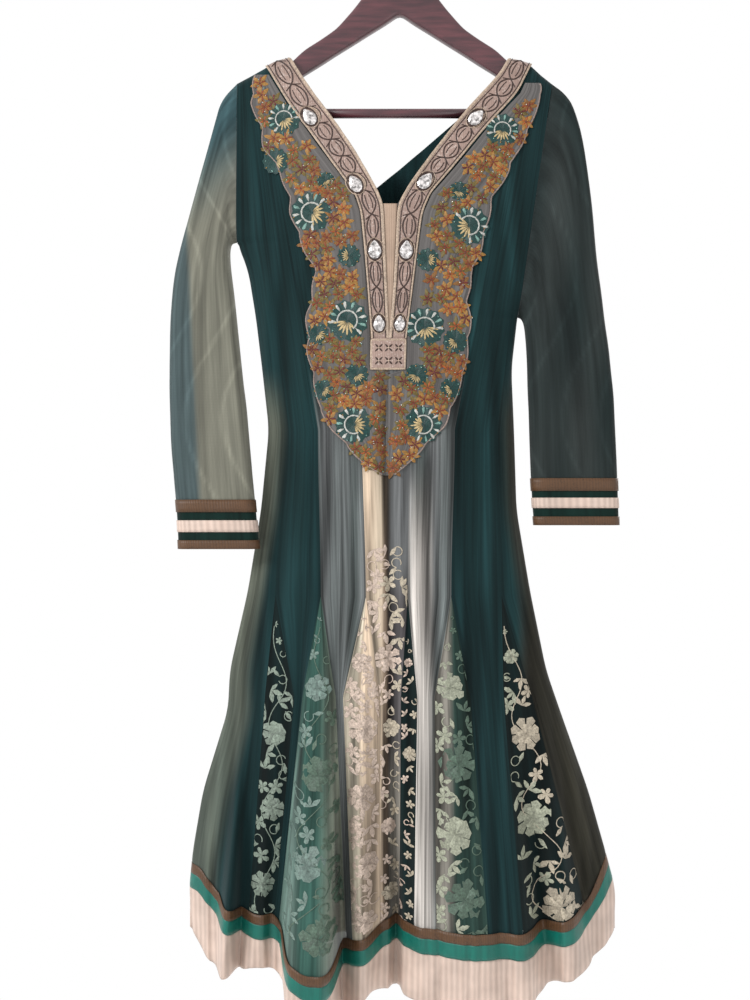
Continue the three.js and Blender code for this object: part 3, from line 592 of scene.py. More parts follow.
@dataclass
class DressForm:
    """The hung dress as a surface over its outline, in millimetres."""

    middle: float = 0.15
    waist_z: float = -643
    knee_z: float = -850
    shin_z: float = -972
    hem_z: float = -1280
    ribbon_rise: float = 29
    teal_rise: float = 18
    shoulder_roll: float = 12
    arm_depth: float = 14
    underarm_roll: float = 60
    bulge: float = 2.4
    armholes: tuple = (((-205, -202), (-207, -404)), ((192, -203), (149, -499)))
    sides: tuple = (
        SideRow(-404, -207, 163), SideRow(-438, -193, 158), SideRow(-499, -183, 149),
        SideRow(-565, -175, 141.5), SideRow(-641, -166.5, 144.8), SideRow(-743, -176.5, 148),
        SideRow(-845, -193, 165), SideRow(-946, -216, 185.5), SideRow(-997, -218.5, 203),
        SideRow(-1099, -250, 239), SideRow(-1175, -263, 260.5), SideRow(-1225, -268, 274),
        SideRow(-1290, -262, 271), SideRow(-1350, -252, 262),
    )
    depths: tuple = (
        DepthRow(-172, 14, 14), DepthRow(-300, 25, 20), DepthRow(-404, 33, 25),
        DepthRow(-560, 37, 28), DepthRow(-743, 38, 30), DepthRow(-850, 44, 38),
        DepthRow(-1000, 54, 52), DepthRow(-1290, 62, 66), DepthRow(-1360, 62, 66),
    )
    shoulders: tuple = (
        Edge(-230, -222), Edge(-205, -202), Edge(-188, -193), Edge(-172, -184), Edge(-157, -175),
        Edge(-140, -172), Edge(138, -173), Edge(148, -174), Edge(163, -178), Edge(178, -192),
        Edge(192, -203), Edge(220, -222),
    )
    front_neck: tuple = (
        Edge(-140, -172), Edge(-112, -215), Edge(-83, -254), Edge(-57, -293), Edge(-29, -344),
        Edge(-21.8, -362), Edge(-3.7, -362), Edge(12, -335), Edge(40, -295.5), Edge(82.5, -241),
        Edge(122, -197.5), Edge(138, -173),
    )
    back_neck: tuple = (
        Edge(-140, -172), Edge(-112, -216), Edge(-83, -257), Edge(-57, -295), Edge(-33, -331),
        Edge(30, -280), Edge(91, -228), Edge(138, -173),
    )
    front_hem: tuple = (
        HemRow(-268, -1218, 50), HemRow(-253, -1219, 70), HemRow(-239, -1234, 76),
        HemRow(-214, -1254, 56), HemRow(-177, -1266, 34), HemRow(-152, -1266, 40),
        HemRow(-136, -1298, 58), HemRow(-110, -1312, 60), HemRow(-84, -1312, 58),
        HemRow(-68, -1290, 52), HemRow(-40, -1282, 40), HemRow(-16, -1270, 56),
        HemRow(5, -1268, 60), HemRow(58, -1272, 62), HemRow(149, -1277, 60),
        HemRow(191, -1270, 48), HemRow(227, -1260, 44), HemRow(246, -1238, 56),
        HemRow(270, -1205, 66),
    )
    back_hem: tuple = (
        HemRow(-268, -1218, 50), HemRow(-200, -1240, 58), HemRow(0, -1258, 58),
        HemRow(210, -1240, 58), HemRow(270, -1205, 66),
    )
    front_seams: tuple = (
        Seam(-190, -140, -156, (-168, -131), (-190, -158)),
        Seam(-176, -102.6, -99, (-121, -80), (-153, -66)),
        Seam(-30, -48, -43, (-71, -26), (-58, -26)),
        Seam(6, 10.5, 8.7, (0, 20), (-2.5, 14)),
        Seam(156, 67.5, 62.5, (41, 85), (41, 104.5)),
        Seam(180, 120.6, 126, (127, 163), (147, 239)),
    )
    back_seams: tuple = (
        Seam(-180, -108, -122, (-139, -107), (-184, -116)),
        Seam(-60, -44, -46, (-63, -32), (-90, -30)),
        Seam(36, 30, 32, (16, 48), (22, 82)),
        Seam(166, 96, 108, (94, 125), (112, 180)),
    )
    front_folds: tuple = (
        Fold(-980, -190, -215, 18, 36, 2), Fold(-930, -150, -178, 22, 10, 2),
        Fold(-850, -101, -110, 39, 74, 5), Fold(-900, -52, -48, 27, 32, 2),
        Fold(-930, -8, -6, 11, -21, 2), Fold(-870, 12, 22, 24, 12, 2),
        Fold(-850, 64, 85, 108, 46, 2), Fold(-900, 120, 149, 30, 22, 2),
        Fold(-950, 168, 205, 32, 32, 2),
    )
    back_folds: tuple = (
        Fold(-900, -178, -215, 30, 18, 2), Fold(-850, -123, -150, 36, 32, 2),
        Fold(-860, -47, -60, 34, 28, 2), Fold(-850, 32, 52, 34, 30, 2),
        Fold(-870, 110, 146, 36, 30, 2), Fold(-920, 172, 218, 28, 20, 2),
    )
    front_creases: tuple = (
        Crease(-16, -560, -14, -1240, 5, -5), Crease(-2, -600, 0, -1240, 6, 2.5),
        Crease(-46, -700, -50, -1240, 5, 2.5), Crease(-34, -690, -30, -1250, 4, -2.5),
        Crease(-72, -640, -78, -1200, 7, 3), Crease(-88, -600, -98, -900, 6, -2.5),
        Crease(16, -680, 22, -1240, 6, 3.5), Crease(34, -640, 44, -1240, 6, -3),
        Crease(52, -600, 60, -1200, 7, 3), Crease(72, -560, 88, -1150, 8, -3),
        Crease(-120, -480, -122, -860, 9, 2.5), Crease(-146, -430, -150, -900, 8, -2.5),
        Crease(-168, -420, -170, -640, 7, 2), Crease(98, -430, 104, -880, 9, 2.5),
        Crease(116, -420, 130, -900, 8, -2.5), Crease(134, -520, 150, -1000, 8, 2.5),
        Crease(120, -330, 152, -300, 10, 5), Crease(118, -352, 160, -345, 9, -5),
        Crease(112, -375, 158, -415, 9, 4), Crease(136, -300, 150, -500, 9, 4),
        Crease(-190, -240, -176, -420, 9, 2.5), Crease(-150, -560, -120, -700, 10, 1.8),
        Crease(120, -600, 96, -740, 10, 1.8), Crease(-216, -960, -240, -1200, 8, 3),
        Crease(196, -960, 238, -1200, 9, 3), Crease(150, -820, 180, -1200, 8, -3),
    )
    back_creases: tuple = (
        Crease(-150, -300, -120, -700, 12, 3), Crease(-110, -380, -90, -860, 10, -3),
        Crease(-60, -420, -56, -900, 9, 2.5), Crease(-14, -500, -16, -1200, 10, -3),
        Crease(14, -440, 20, -1200, 9, 2.5), Crease(60, -400, 62, -860, 10, -2.5),
        Crease(110, -360, 92, -820, 11, 3), Crease(140, -430, 130, -900, 10, -3),
        Crease(-180, -700, -210, -1200, 10, 3), Crease(166, -760, 220, -1200, 10, 3),
        Crease(-130, -260, 90, -330, 10, 1.8), Crease(-140, -620, 110, -650, 12, 1.5),
    )

    def __post_init__(self) -> None:
        """Make the profiles from the tables."""
        self.side_left = profile(self.sides, "z", "left", 14)
        self.side_right = profile(self.sides, "z", "right", 14)
        self.depth_of = {
            Side.FRONT: profile(self.depths, "z", "front", 50),
            Side.BACK: profile(self.depths, "z", "back", 50),
        }
        self.shoulder = profile(self.shoulders, "x", "z")
        self.neck = {
            Side.FRONT: profile(self.front_neck, "x", "z"),
            Side.BACK: profile(self.back_neck, "x", "z"),
        }
        self.hem = {
            Side.FRONT: profile(self.front_hem, "x", "z", 5),
            Side.BACK: profile(self.back_hem, "x", "z", 20),
        }
        self.silk = {
            Side.FRONT: profile(self.front_hem, "x", "silk", 8),
            Side.BACK: profile(self.back_hem, "x", "silk", 20),
        }
        self.seams = {Side.FRONT: self.front_seams, Side.BACK: self.back_seams}
        self.folds = {Side.FRONT: self.front_folds, Side.BACK: self.back_folds}
        self.creases = {Side.FRONT: self.front_creases, Side.BACK: self.back_creases}

    def edge(self, which: int, z: Array) -> Array:
        """Give the x of the left (0) or right (1) outline at each height."""
        top, low = self.armholes[which]
        side = (self.side_left, self.side_right)[which](z)
        hole = mix(top[0], low[0], (z - top[1]) / (low[1] - top[1]))
        return np.where(z > low[1], hole, side)

    def top(self, side: Side, x: Array) -> Array:
        """Give the height of the shoulder or the neck edge at each x."""
        inside = (x > self.front_neck[0].x) & (x < self.front_neck[-1].x)
        return np.where(inside, self.neck[side](x), self.shoulder(x))

    def seam(self, side: Side, number: int, which: int) -> Lay:
        """Give one edge of a seam as a function of height.

        Args:
            side: Front or back.
            number: Seam, counted from the left.
            which: 0 for its left edge, 1 for its right one.

        Returns:
            Function from heights to x.
        """
        row = self.seams[side][number]
        heights = (self.hem_z, self.shin_z, self.knee_z)
        below = Profile(heights, (row.hem[which], row.shin[which], row.knee))

        def at(z: Array) -> Array:
            """Read the seam's x at each height."""
            above = mix(row.waist, row.top, (z - self.waist_z) / (-200 - self.waist_z))
            thigh = smooth((z - self.knee_z) / (self.waist_z - self.knee_z))
            knee = mix(row.knee, row.waist, thigh)
            slope = (row.hem[which] - row.shin[which]) / (self.hem_z - self.shin_z)
            past = np.minimum(z - self.hem_z, 0) * slope
            return np.where(z > self.waist_z, above, np.where(z > self.knee_z, knee, below(z) + past))

        return at

    def fold_depth(self, side: Side, x: Array, z: Array) -> Array:
        """Add up the large folds."""
        total = np.zeros_like(x)
        for fold in self.folds[side]:
            grown = smooth((fold.start - z) / (fold.start - self.hem_z))
            down = np.clip((z - self.shin_z) / (self.hem_z - self.shin_z), -0.5, 1.2)
            ridge = mix(fold.shin, fold.hem, down)
            half = fold.half * mix(0.55, 1, np.clip(down, 0, 1))
            t = np.clip(np.abs(x - ridge) / half, 0, 1)
            total += fold.depth * grown * (1 - t**fold.flat) ** 2
        return total

    def crease_depth(self, side: Side, x: Array, z: Array) -> Array:
        """Add up the soft creases and the fine pleats that open towards the hem."""
        total = np.zeros_like(x)
        for row in self.creases[side]:
            run = np.array([row.x1 - row.x0, row.z1 - row.z0])
            length = np.hypot(*run)
            run = run / length
            along = (x - row.x0) * run[0] + (z - row.z0) * run[1]
            across = (x - row.x0) * run[1] - (z - row.z0) * run[0]
            across = across + 3 * np.sin(along / 70 + row.x0)
            fade = smooth(along / 60) * smooth((length - along) / 60)
            total += row.height * fade * np.exp(-((across / row.half) ** 2))
        drop = smooth((-480 - z) / 500)
        phase = x * 0.36 + 1.6 * np.sin(z / 190 + x / 60)
        fine = np.sin(phase) + 0.6 * np.sin(1.73 * x * 0.3 + 0.8 * np.sin(z / 120))
        quiet = 0.55 + 0.45 * wander(x / 240, z / 700, 3.0 + side.value)
        total += fine * quiet * mix(0.12, 0.95, drop)
        total += 0.8 * wander(x / 130 + z / 500, z / 210, 1.0)
        return total * smooth((self.shoulder(x) - z) / 40)

    def depth(self, side: Side, x: Array, z: Array) -> Array:
        """Give the depth of the cloth from the middle plane."""
        left, right = self.edge(0, z), self.edge(1, z)
        across = np.clip((2 * x - left - right) / (right - left), -1, 1)
        low = np.where(across < 0, self.armholes[0][1][1], self.armholes[1][1][1])
        above = z - low
        rim = self.arm_depth * roll(np.maximum(above, 0), self.underarm_roll)
        power = mix(0.5, 1, smooth(above / 50 + 0.2))
        bulge = (1 - np.abs(across) ** self.bulge) ** power
        cover = roll(np.maximum(self.shoulder(x) - z, 0), self.shoulder_roll)
        body = cover * (rim + (self.depth_of[side](z) - rim) * bulge)
        soft = self.crease_depth(side, x, z) * smooth((1 - np.abs(across)) * 12)
        return np.maximum(body + self.fold_depth(side, x, z) + soft, 0)

    def lay(self, side: Side, flat: Array) -> Array:
        """Lay points of a flat pattern on the dress.

        Args:
            side: Front or back.
            flat: Rows of x, height above the cloth, and z, in millimetres.

        Returns:
            Rows of x, y and z in metres.
        """
        x, out, z = flat[:, 0], flat[:, 1], flat[:, 2]
        near, steepest = 0.5, 4
        here = self.depth(side, x, z)
        slope_x = (self.depth(side, x + near, z) - self.depth(side, x - near, z)) / (2 * near)
        slope_z = (self.depth(side, x, z + near) - self.depth(side, x, z - near)) / (2 * near)
        slope_x, slope_z = (np.clip(slope, -steepest, steepest) for slope in (slope_x, slope_z))
        size = np.sqrt(slope_x**2 + slope_z**2 + 1)
        sign = side.value
        y = sign * (self.middle + here) + out * sign / size
        y = sign * np.maximum(self.middle, sign * y)
        return np.stack([x - out * slope_x / size, y, z - out * slope_z / size], axis=1) / 1000

    def level(self, edge: Lay, x_at: Lay, start: Array) -> Array:
        """Find the height of an edge on columns that lean.

        Args:
            edge: Height of the edge at each x.
            x_at: x of each column at each height.
            start: First guess.

        Returns:
            Height of the edge on each column.
        """
        z = start.astype(float)
        for _ in range(30):
            z = mix(z, edge(x_at(z)), 0.6)
        return z


@dataclass
class SleeveRow:
    """Flattened ring of a sleeve: outer and inner end, half depth and lean to the back."""

    out_x: float
    out_z: float
    in_x: float
    in_z: float
    depth: float
    lean: float


@dataclass
class SleeveForm:
    """A hung sleeve: rings from the armhole to the wrist, in millimetres."""

    rows: tuple[SleeveRow, ...]
    seed: float
    outer_roll: float = 12

    def __post_init__(self) -> None:
        """Make a profile over the rings for each of their sizes."""
        self.last = float(len(self.rows) - 1)
        self.hand = math.copysign(1.0, self.rows[-1].in_x - self.rows[-1].out_x)
        self.sizes = {
            key: even_profile([getattr(row, key) for row in self.rows], 0.45)
            for key in ("out_x", "out_z", "in_x", "in_z", "depth", "lean")
        }

    def ring_at(self, z: float) -> float:
        """Give the ring number at which the outer line passes a height."""
        steps = np.linspace(0, self.last, 600)
        heights = self.sizes["out_z"](steps)
        return float(np.interp(-z, -heights, steps))

    def point(self, turn: Array, ring: Array) -> Array:
        """Give points in millimetres, from turns round the sleeve and ring numbers."""
        size = {key: read(np.clip(ring, 0, self.last)) for key, read in self.sizes.items()}
        turn = np.mod(turn, 1.0)
        share = (1 - np.cos(2 * np.pi * turn)) / 2
        dx, dz = size["in_x"] - size["out_x"], size["in_z"] - size["out_z"]
        width = np.hypot(dx, dz)
        low = mix(14, 60, smooth((width - 110) / 80))
        swell = roll(share * width, self.outer_roll) * roll((1 - share) * width, low)
        sign = np.where(turn < 0.5, -1.0, 1.0)
        y = size["lean"] + sign * size["depth"] * swell
        return np.stack([size["out_x"] + dx * share, y, size["out_z"] + dz * share], axis=1)

    def crease(self, turn: Array, ring: Array) -> Array:
        """Give the soft creases round the sleeve, in millimetres."""
        place = self.point(turn, ring)
        x, z = place[:, 0], place[:, 2]
        slant = (x + self.seed * 20) / 17 + z / 46
        long = 1.0 * np.sin(slant + 1.4 * np.sin(z / 90 + self.seed))
        fine = 0.5 * np.sin((x - 0.6 * z) / 9 + 1.5 * np.sin(z / 60))
        edges = np.sin(np.pi * np.mod(2 * turn, 1.0)) ** 0.5
        calm = smooth(ring / 1.5) * smooth((self.last - ring) / 1.2)
        return (long + fine + wander(x / 60, z / 130, self.seed)) * edges * mix(0.15, 1, calm)

    def lay(self, flat: Array) -> Array:
        """Lay points on the sleeve, from rows of turn, height above the cloth, and ring number."""
        turn, out, ring = flat[:, 0], flat[:, 1], flat[:, 2]
        here = self.point(turn, ring)
        near_turn, near_ring = 0.004, 0.05
        round_it = self.point(turn + near_turn, ring) - self.point(turn - near_turn, ring)
        ahead = self.point(turn, np.minimum(ring + near_ring, self.last))
        down_it = ahead - self.point(turn, np.maximum(ring - near_ring, 0))
        normal = self.hand * np.cross(down_it, round_it)
        normal /= np.maximum(np.linalg.norm(normal, axis=1), 1e-9)[:, None]
        return (here + normal * (out + self.crease(turn, ring))[:, None]) / 1000


# ---------------------------------------------------------------- making meshes


class Cloth(NamedTuple):
    """Cloth piece, the width and length that it is cut to in metres, and what is sewn on it."""

    piece: Piece
    width: float
    length: float
    trims: tuple = ()


@dataclass
class Pattern:
    """Flat pattern of one piece: what is drawn on it is laid on a form in one go."""

    name: str
    lift: float = 0.0
    bm: bmesh.types.BMesh = field(default_factory=bmesh.new)
    net: tuple = ()
    width: float = 0.0
    length: float = 0.0

    def __post_init__(self) -> None:
        """Open the layers for the tints and the stitch directions."""
        self.tint = self.bm.verts.layers.float_color.new("Tint")
        self.thread = self.bm.verts.layers.float_vector.new("Thread")

    def cloth(
        self,
        columns: int,
        rows: int,
        shape: Shape,
        dye: Lay | Colour,
    ) -> None:
        """Draw a grid of cloth.

        Args:
            columns: Faces across.
            rows: Faces down.
            shape: Function from shares across and down to rows of flat points.
            dye: One colour, or a function from flat points to rows of colours.
        """
        self.net = (rows + 1, columns + 1, 3)
        made = bmesh.ops.create_grid(self.bm, x_segments=columns, y_segments=rows, size=1)["verts"]
        grid = np.array([vert.co for vert in made])
        across = (grid[:, 0] + 1) / 2
        flat = shape(across, (1 - grid[:, 1]) / 2)
        tints = dye(flat) if callable(dye) else np.tile(np.asarray(dye), (len(flat), 1))
        width = np.ptp(flat[:, 0]) / 1000
        for vert, share, point, tint in zip(made, across, flat, tints):
            vert.co = point
            vert[self.thread] = (share * width, point[2] / 1000, 0)
            vert[self.tint] = tint

    def petal(
        self,
        at: tuple[float, float],
        degrees: float,
        length: float,
        width: float,
        dye: Colour,
        rise: float = 0.7,
        blunt: float = 0.8,
    ) -> None:
        """Draw one domed petal or leaf from its root.

        Args:
            at: x and z of the root.
            degrees: Direction, 0 along +X and 90 up.
            length: Length.
            width: Width at the widest.
            dye: Colour.
            rise: Height of the dome.
            blunt: Below 1 the widest place is nearer the tip, above 1 nearer the root.
        """
        made = bmesh.ops.create_grid(self.bm, x_segments=2, y_segments=3, size=1)["verts"]
        cos, sin = math.cos(math.radians(degrees)), math.sin(math.radians(degrees))
        for vert in made:
            across, down = vert.co.x, 1 - ((1 - vert.co.y) / 2) ** 1.6
            side = across * width / 2 * (math.sin(math.pi * down**(1 / blunt)) * 0.9 + 0.1 * (1 - down))
            along = down * length
            high = self.lift + rise * (1 - across**2) * (0.4 + 0.6 * math.sin(math.pi * down))
            vert.co = (at[0] + along * cos - side * sin, high, at[1] + along * sin + side * cos)
            vert[self.thread] = (side, along, 0)
            shade = 0.86 + 0.22 * down
            vert[self.tint] = (dye[0] * shade, dye[1] * shade, dye[2] * shade, 1)

    def dome(self, at: tuple[float, float], radius: float, dye: Colour, rise: float = 0.6, sides: int = 8) -> None:
        """Draw a small round dome such as a sequin or a bead."""
        made = bmesh.ops.create_circle(self.bm, cap_ends=True, cap_tris=True, segments=sides, radius=1)
        for vert in made["verts"]:
            away = math.hypot(vert.co.x, vert.co.y)
            x, z = at[0] + radius * vert.co.x, at[1] + radius * vert.co.y
            vert[self.thread] = (radius * vert.co.x, radius * vert.co.y, 0)
            vert.co = (x, self.lift + (rise if away < 0.5 else 0.1 * rise), z)
            vert[self.tint] = dye

    def cord(self, path: Array, width: float, dye: Colour, rise: float = 0.8, closed: bool = False) -> None:
        """Draw a half-round cord along a path.

        Args:
            path: Rows of x and z.
            width: Width of the cord.
            dye: Colour.
            rise: Height of the cord.
            closed: Whether the last point joins the first.
        """
        points = np.vstack([path, path[:1]]) if closed else path
        ahead = np.gradient(points, axis=0)
        if closed:
            ahead[0] = ahead[-1] = points[1] - points[-2]
        ahead /= np.maximum(np.linalg.norm(ahead, axis=1), 1e-9)[:, None]
        count = len(points) - 1
        made = bmesh.ops.create_grid(self.bm, x_segments=2, y_segments=count, size=1)["verts"]
        for vert in made:
            i = round((1 + vert.co.y) / 2 * count)
            side = vert.co.x * width / 2
            x = points[i][0] - ahead[i][1] * side
            z = points[i][1] + ahead[i][0] * side
            high = self.lift + rise * (1 - 0.9 * abs(vert.co.x))
            vert[self.thread] = (i * 0.8 + side, side, 0)
            vert.co = (x, high, z)
            vert[self.tint] = dye

    def finish(
        self,
        lay: Lay,
        material: Material,
        thickness: float = 0.0,
        outward: Side | None = None,
        weld: float = 0.0,
    ) -> Piece:
        """Lay the pattern on its form and make the object.

        Args:
            lay: Function from rows of flat points to rows of metres.
            material: Finish.
            thickness: Thickness in metres of a wall that grows inwards, or 0 for one layer.
            outward: Side of the dress that the faces look out from, or None to leave them.
            weld: Distance in metres under which doubled points are merged.

        Returns:
            The object, riding on the only body.
        """
        uv = self.bm.loops.layers.uv.new("Cloth")
        for face in self.bm.faces:
            for loop in face.loops:
                co = loop.vert.co
                loop[uv].uv = (co.x / 1000, co.z / 1000)
        laid = lay(np.array([vert.co for vert in self.bm.verts]))
        for vert, point in zip(self.bm.verts, laid):
            vert.co = point
        self.measure(laid)
        if weld:
            bmesh.ops.remove_doubles(self.bm, verts=self.bm.verts[:], dist=weld)
        if outward is None:
            bmesh.ops.recalc_face_normals(self.bm, faces=self.bm.faces[:])
        else:
            self.bm.normal_update()
            looks = sum(face.normal.y * face.calc_area() for face in self.bm.faces)
            if looks * outward.value < 0:
                bmesh.ops.reverse_faces(self.bm, faces=self.bm.faces[:])
        for face in self.bm.faces:
            face.smooth = True
        return finished(self.name, self.bm, material, thickness)

    def measure(self, laid: Array) -> None:
        """Measure the longest way across the cloth and the longest way down it."""
        if not self.net:
            return
        count = self.net[0] * self.net[1]
        net = laid[:count].reshape(self.net)
        across = np.linalg.norm(np.diff(net, axis=1), axis=2).sum(axis=1)
        down = np.linalg.norm(np.diff(net, axis=0), axis=2).sum(axis=0)
        self.width, self.length = float(across.max()), float(down.max())

    def cloth_of(self, piece: Piece, *trims: Piece) -> Cloth:
        """Keep the piece with the size that it is cut to and with what is sewn on it."""
        return Cloth(piece, self.width, self.length, trims)


def finished(
    name: str, bm: bmesh.types.BMesh, material: Material, thickness: float = 0.0
) -> Piece:
    """Make an object of a bmesh, dress it and let it ride on the only body.

    Args:
        name: Name of the piece.
        bm: Its mesh, which is freed.
        material: Finish.
        thickness: Thickness in metres of a wall that grows inwards, or 0 for none.

    Returns:
        The object.
    """
    mesh = bpy.data.meshes.new(name)
    bm.to_mesh(mesh)
    bm.free()
    piece = bpy.data.objects.new(name, mesh)
    bpy.context.scene.collection.objects.link(piece)
    mesh.materials.append(material)
    if thickness:
        wall = piece.modifiers.new("Wall", "SOLIDIFY")
        wall.thickness, wall.offset = thickness, -1
    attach(piece, "root")
    LOG.info("%s: %d faces", name, len(mesh.polygons))
    return piece


def declare_sheet(cloth: Cloth) -> None:
    """Log the size that a cloth piece hanging from the hanger is cut to, and its area."""
    piece, width, length = cloth.piece, max(cloth.width, LEAST_SIDE), max(cloth.length, LEAST_SIDE)
    area = sum(face.area for face in piece.data.polygons)
    area = min(max(area, LEAST_FILL * width * length), width * length)
    size = (width * 1000, length * 1000, area * 1e4)
    LOG.info("%s is cut from %.0f by %.0f mm, %.0f cm2", piece.name, *size)


# ---------------------------------------------------------------- hanger


@dataclass
class Hanger:
    """Wooden hanger with a trouser bar and a wire hook."""

    wood: Material
    steel: Material
    stations: tuple = (
        (0, -61, -114, 9), (18, -66, -126.5, 9), (40, -84, -140, 8.5), (58, -108, -151.5, 8),
        (80, -133, -165, 7.5), (100, -147, -178, 7.5), (121, -160, -191, 7), (140, -178, -204, 7),
        (158, -185, -214, 7), (178, -198, -227, 7), (200, -215, -242, 7), (213, -227, -249, 6.5),
        (219, -236, -247, 5),
    )
    bar_z: float = -239.5
    bar_radius: float = 6
    bar_half: float = 204.5
    wire_radius: float = 2
    wire_bend: float = 28

    def tube(
        self,
        name: str,
        around: int,
        along: int,
        shape: Shape,
        material: Material,
    ) -> Piece:
        """Build a closed tube from a grid that is rolled up and capped.

        Args:
            name: Name of the piece.
            around: Faces round it.
            along: Faces along it.
            shape: Function from shares round and along to rows of millimetres.
            material: Finish.

        Returns:
            The object.
        """
        bm = bmesh.new()
        made = bmesh.ops.create_grid(bm, x_segments=around, y_segments=along, size=1)["verts"]
        grid = np.array([vert.co for vert in made])
        points = shape((grid[:, 0] + 1) / 2, (grid[:, 1] + 1) / 2) / 1000
        for vert, point in zip(made, points):
            vert.co = point
        bmesh.ops.remove_doubles(bm, verts=bm.verts[:], dist=1e-6)
        rims = [edge for edge in bm.edges if edge.is_boundary]
        bmesh.ops.holes_fill(bm, edges=rims, sides=0)
        bmesh.ops.recalc_face_normals(bm, faces=bm.faces[:])
        for face in bm.faces:
            face.smooth = len(face.verts) <= 4
        return finished(name, bm, material)

    def build(self) -> list[Piece]:
        """Build the arms, the bar and the hook."""
        x, top, under, half = (np.array(column, float) for column in zip(*self.stations))

        def arms(turn: Array, share: Array) -> Array:
            """Shape the arms as rounded rectangles along the hanger."""
            place = mix(-x[-1], x[-1], share)
            read = [np.interp(np.abs(place), x, size) for size in (top, under, half)]
            for size, index in ((top, 0), (under, 1)):
                near = [np.interp(np.abs(place + d), x, size) for d in (-5, -2.5, 0, 2.5, 5)]
                read[index] = sum(near) / 5
            a = 2 * np.pi * turn
            swing = np.sign(np.cos(a)) * np.abs(np.cos(a)) ** 0.4
            lift = np.sign(np.sin(a)) * np.abs(np.sin(a)) ** 0.4
            middle, tall = (read[0] + read[1]) / 2, (read[0] - read[1]) / 2
            return np.stack([place, read[2] * swing, middle + tall * lift], axis=1)

        def bar(turn: Array, share: Array) -> Array:
            """Shape the round bar."""
            a = 2 * np.pi * turn
            place = mix(-self.bar_half, self.bar_half, share)
            return np.stack(
                [place, self.bar_radius * np.cos(a), self.bar_z + self.bar_radius * np.sin(a)], axis=1
            )

        made = [
            self.tube("wooden_arms", 32, 120, arms, self.wood),
            self.tube("wooden_bar", 24, 2, bar, self.wood),
            self.hook(),
        ]
        for piece, node in zip(made, ("hanger_arms", "hanger_bar", "hanger_hook")):
            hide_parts(node)
        return made

    def hook(self) -> Piece:
        """Bend the wire hook over its rail."""
        middle = -(self.wire_bend - self.wire_radius)
        neck = [(0, -61), (0.6, -55), (8, -50)]
        bend = [
            (self.wire_bend * math.cos(math.radians(d)), middle + self.wire_bend * math.sin(math.radians(d)))
            for d in range(-45, 200, 7)
        ]
        line = np.array([*neck, *bend])
        for _ in range(2):
            line[1:-1] = (line[:-2] + 2 * line[1:-1] + line[2:]) / 4

        def wire(turn: Array, share: Array) -> Array:
            """Sweep a circle along the bent line."""
            steps = np.linspace(0, 1, len(line))
            x, z = np.interp(share, steps, line[:, 0]), np.interp(share, steps, line[:, 1])
            slope = np.gradient(line, axis=0)
            slope /= np.linalg.norm(slope, axis=1)[:, None]
            along = [np.interp(share, steps, slope[:, k]) for k in (0, 1)]
            a = 2 * np.pi * turn
            reach = self.wire_radius * np.cos(a)
            return np.stack(
                [x - along[1] * reach, self.wire_radius * np.sin(a), z + along[0] * reach], axis=1
            )

        return self.tube("wire_hook", 12, 90, wire, self.steel)


# ---------------------------------------------------------------- body of the dress


class Panel(NamedTuple):
    """Panel or godet between two seams."""

    node: str
    columns: int
    godet: bool
    dye: str


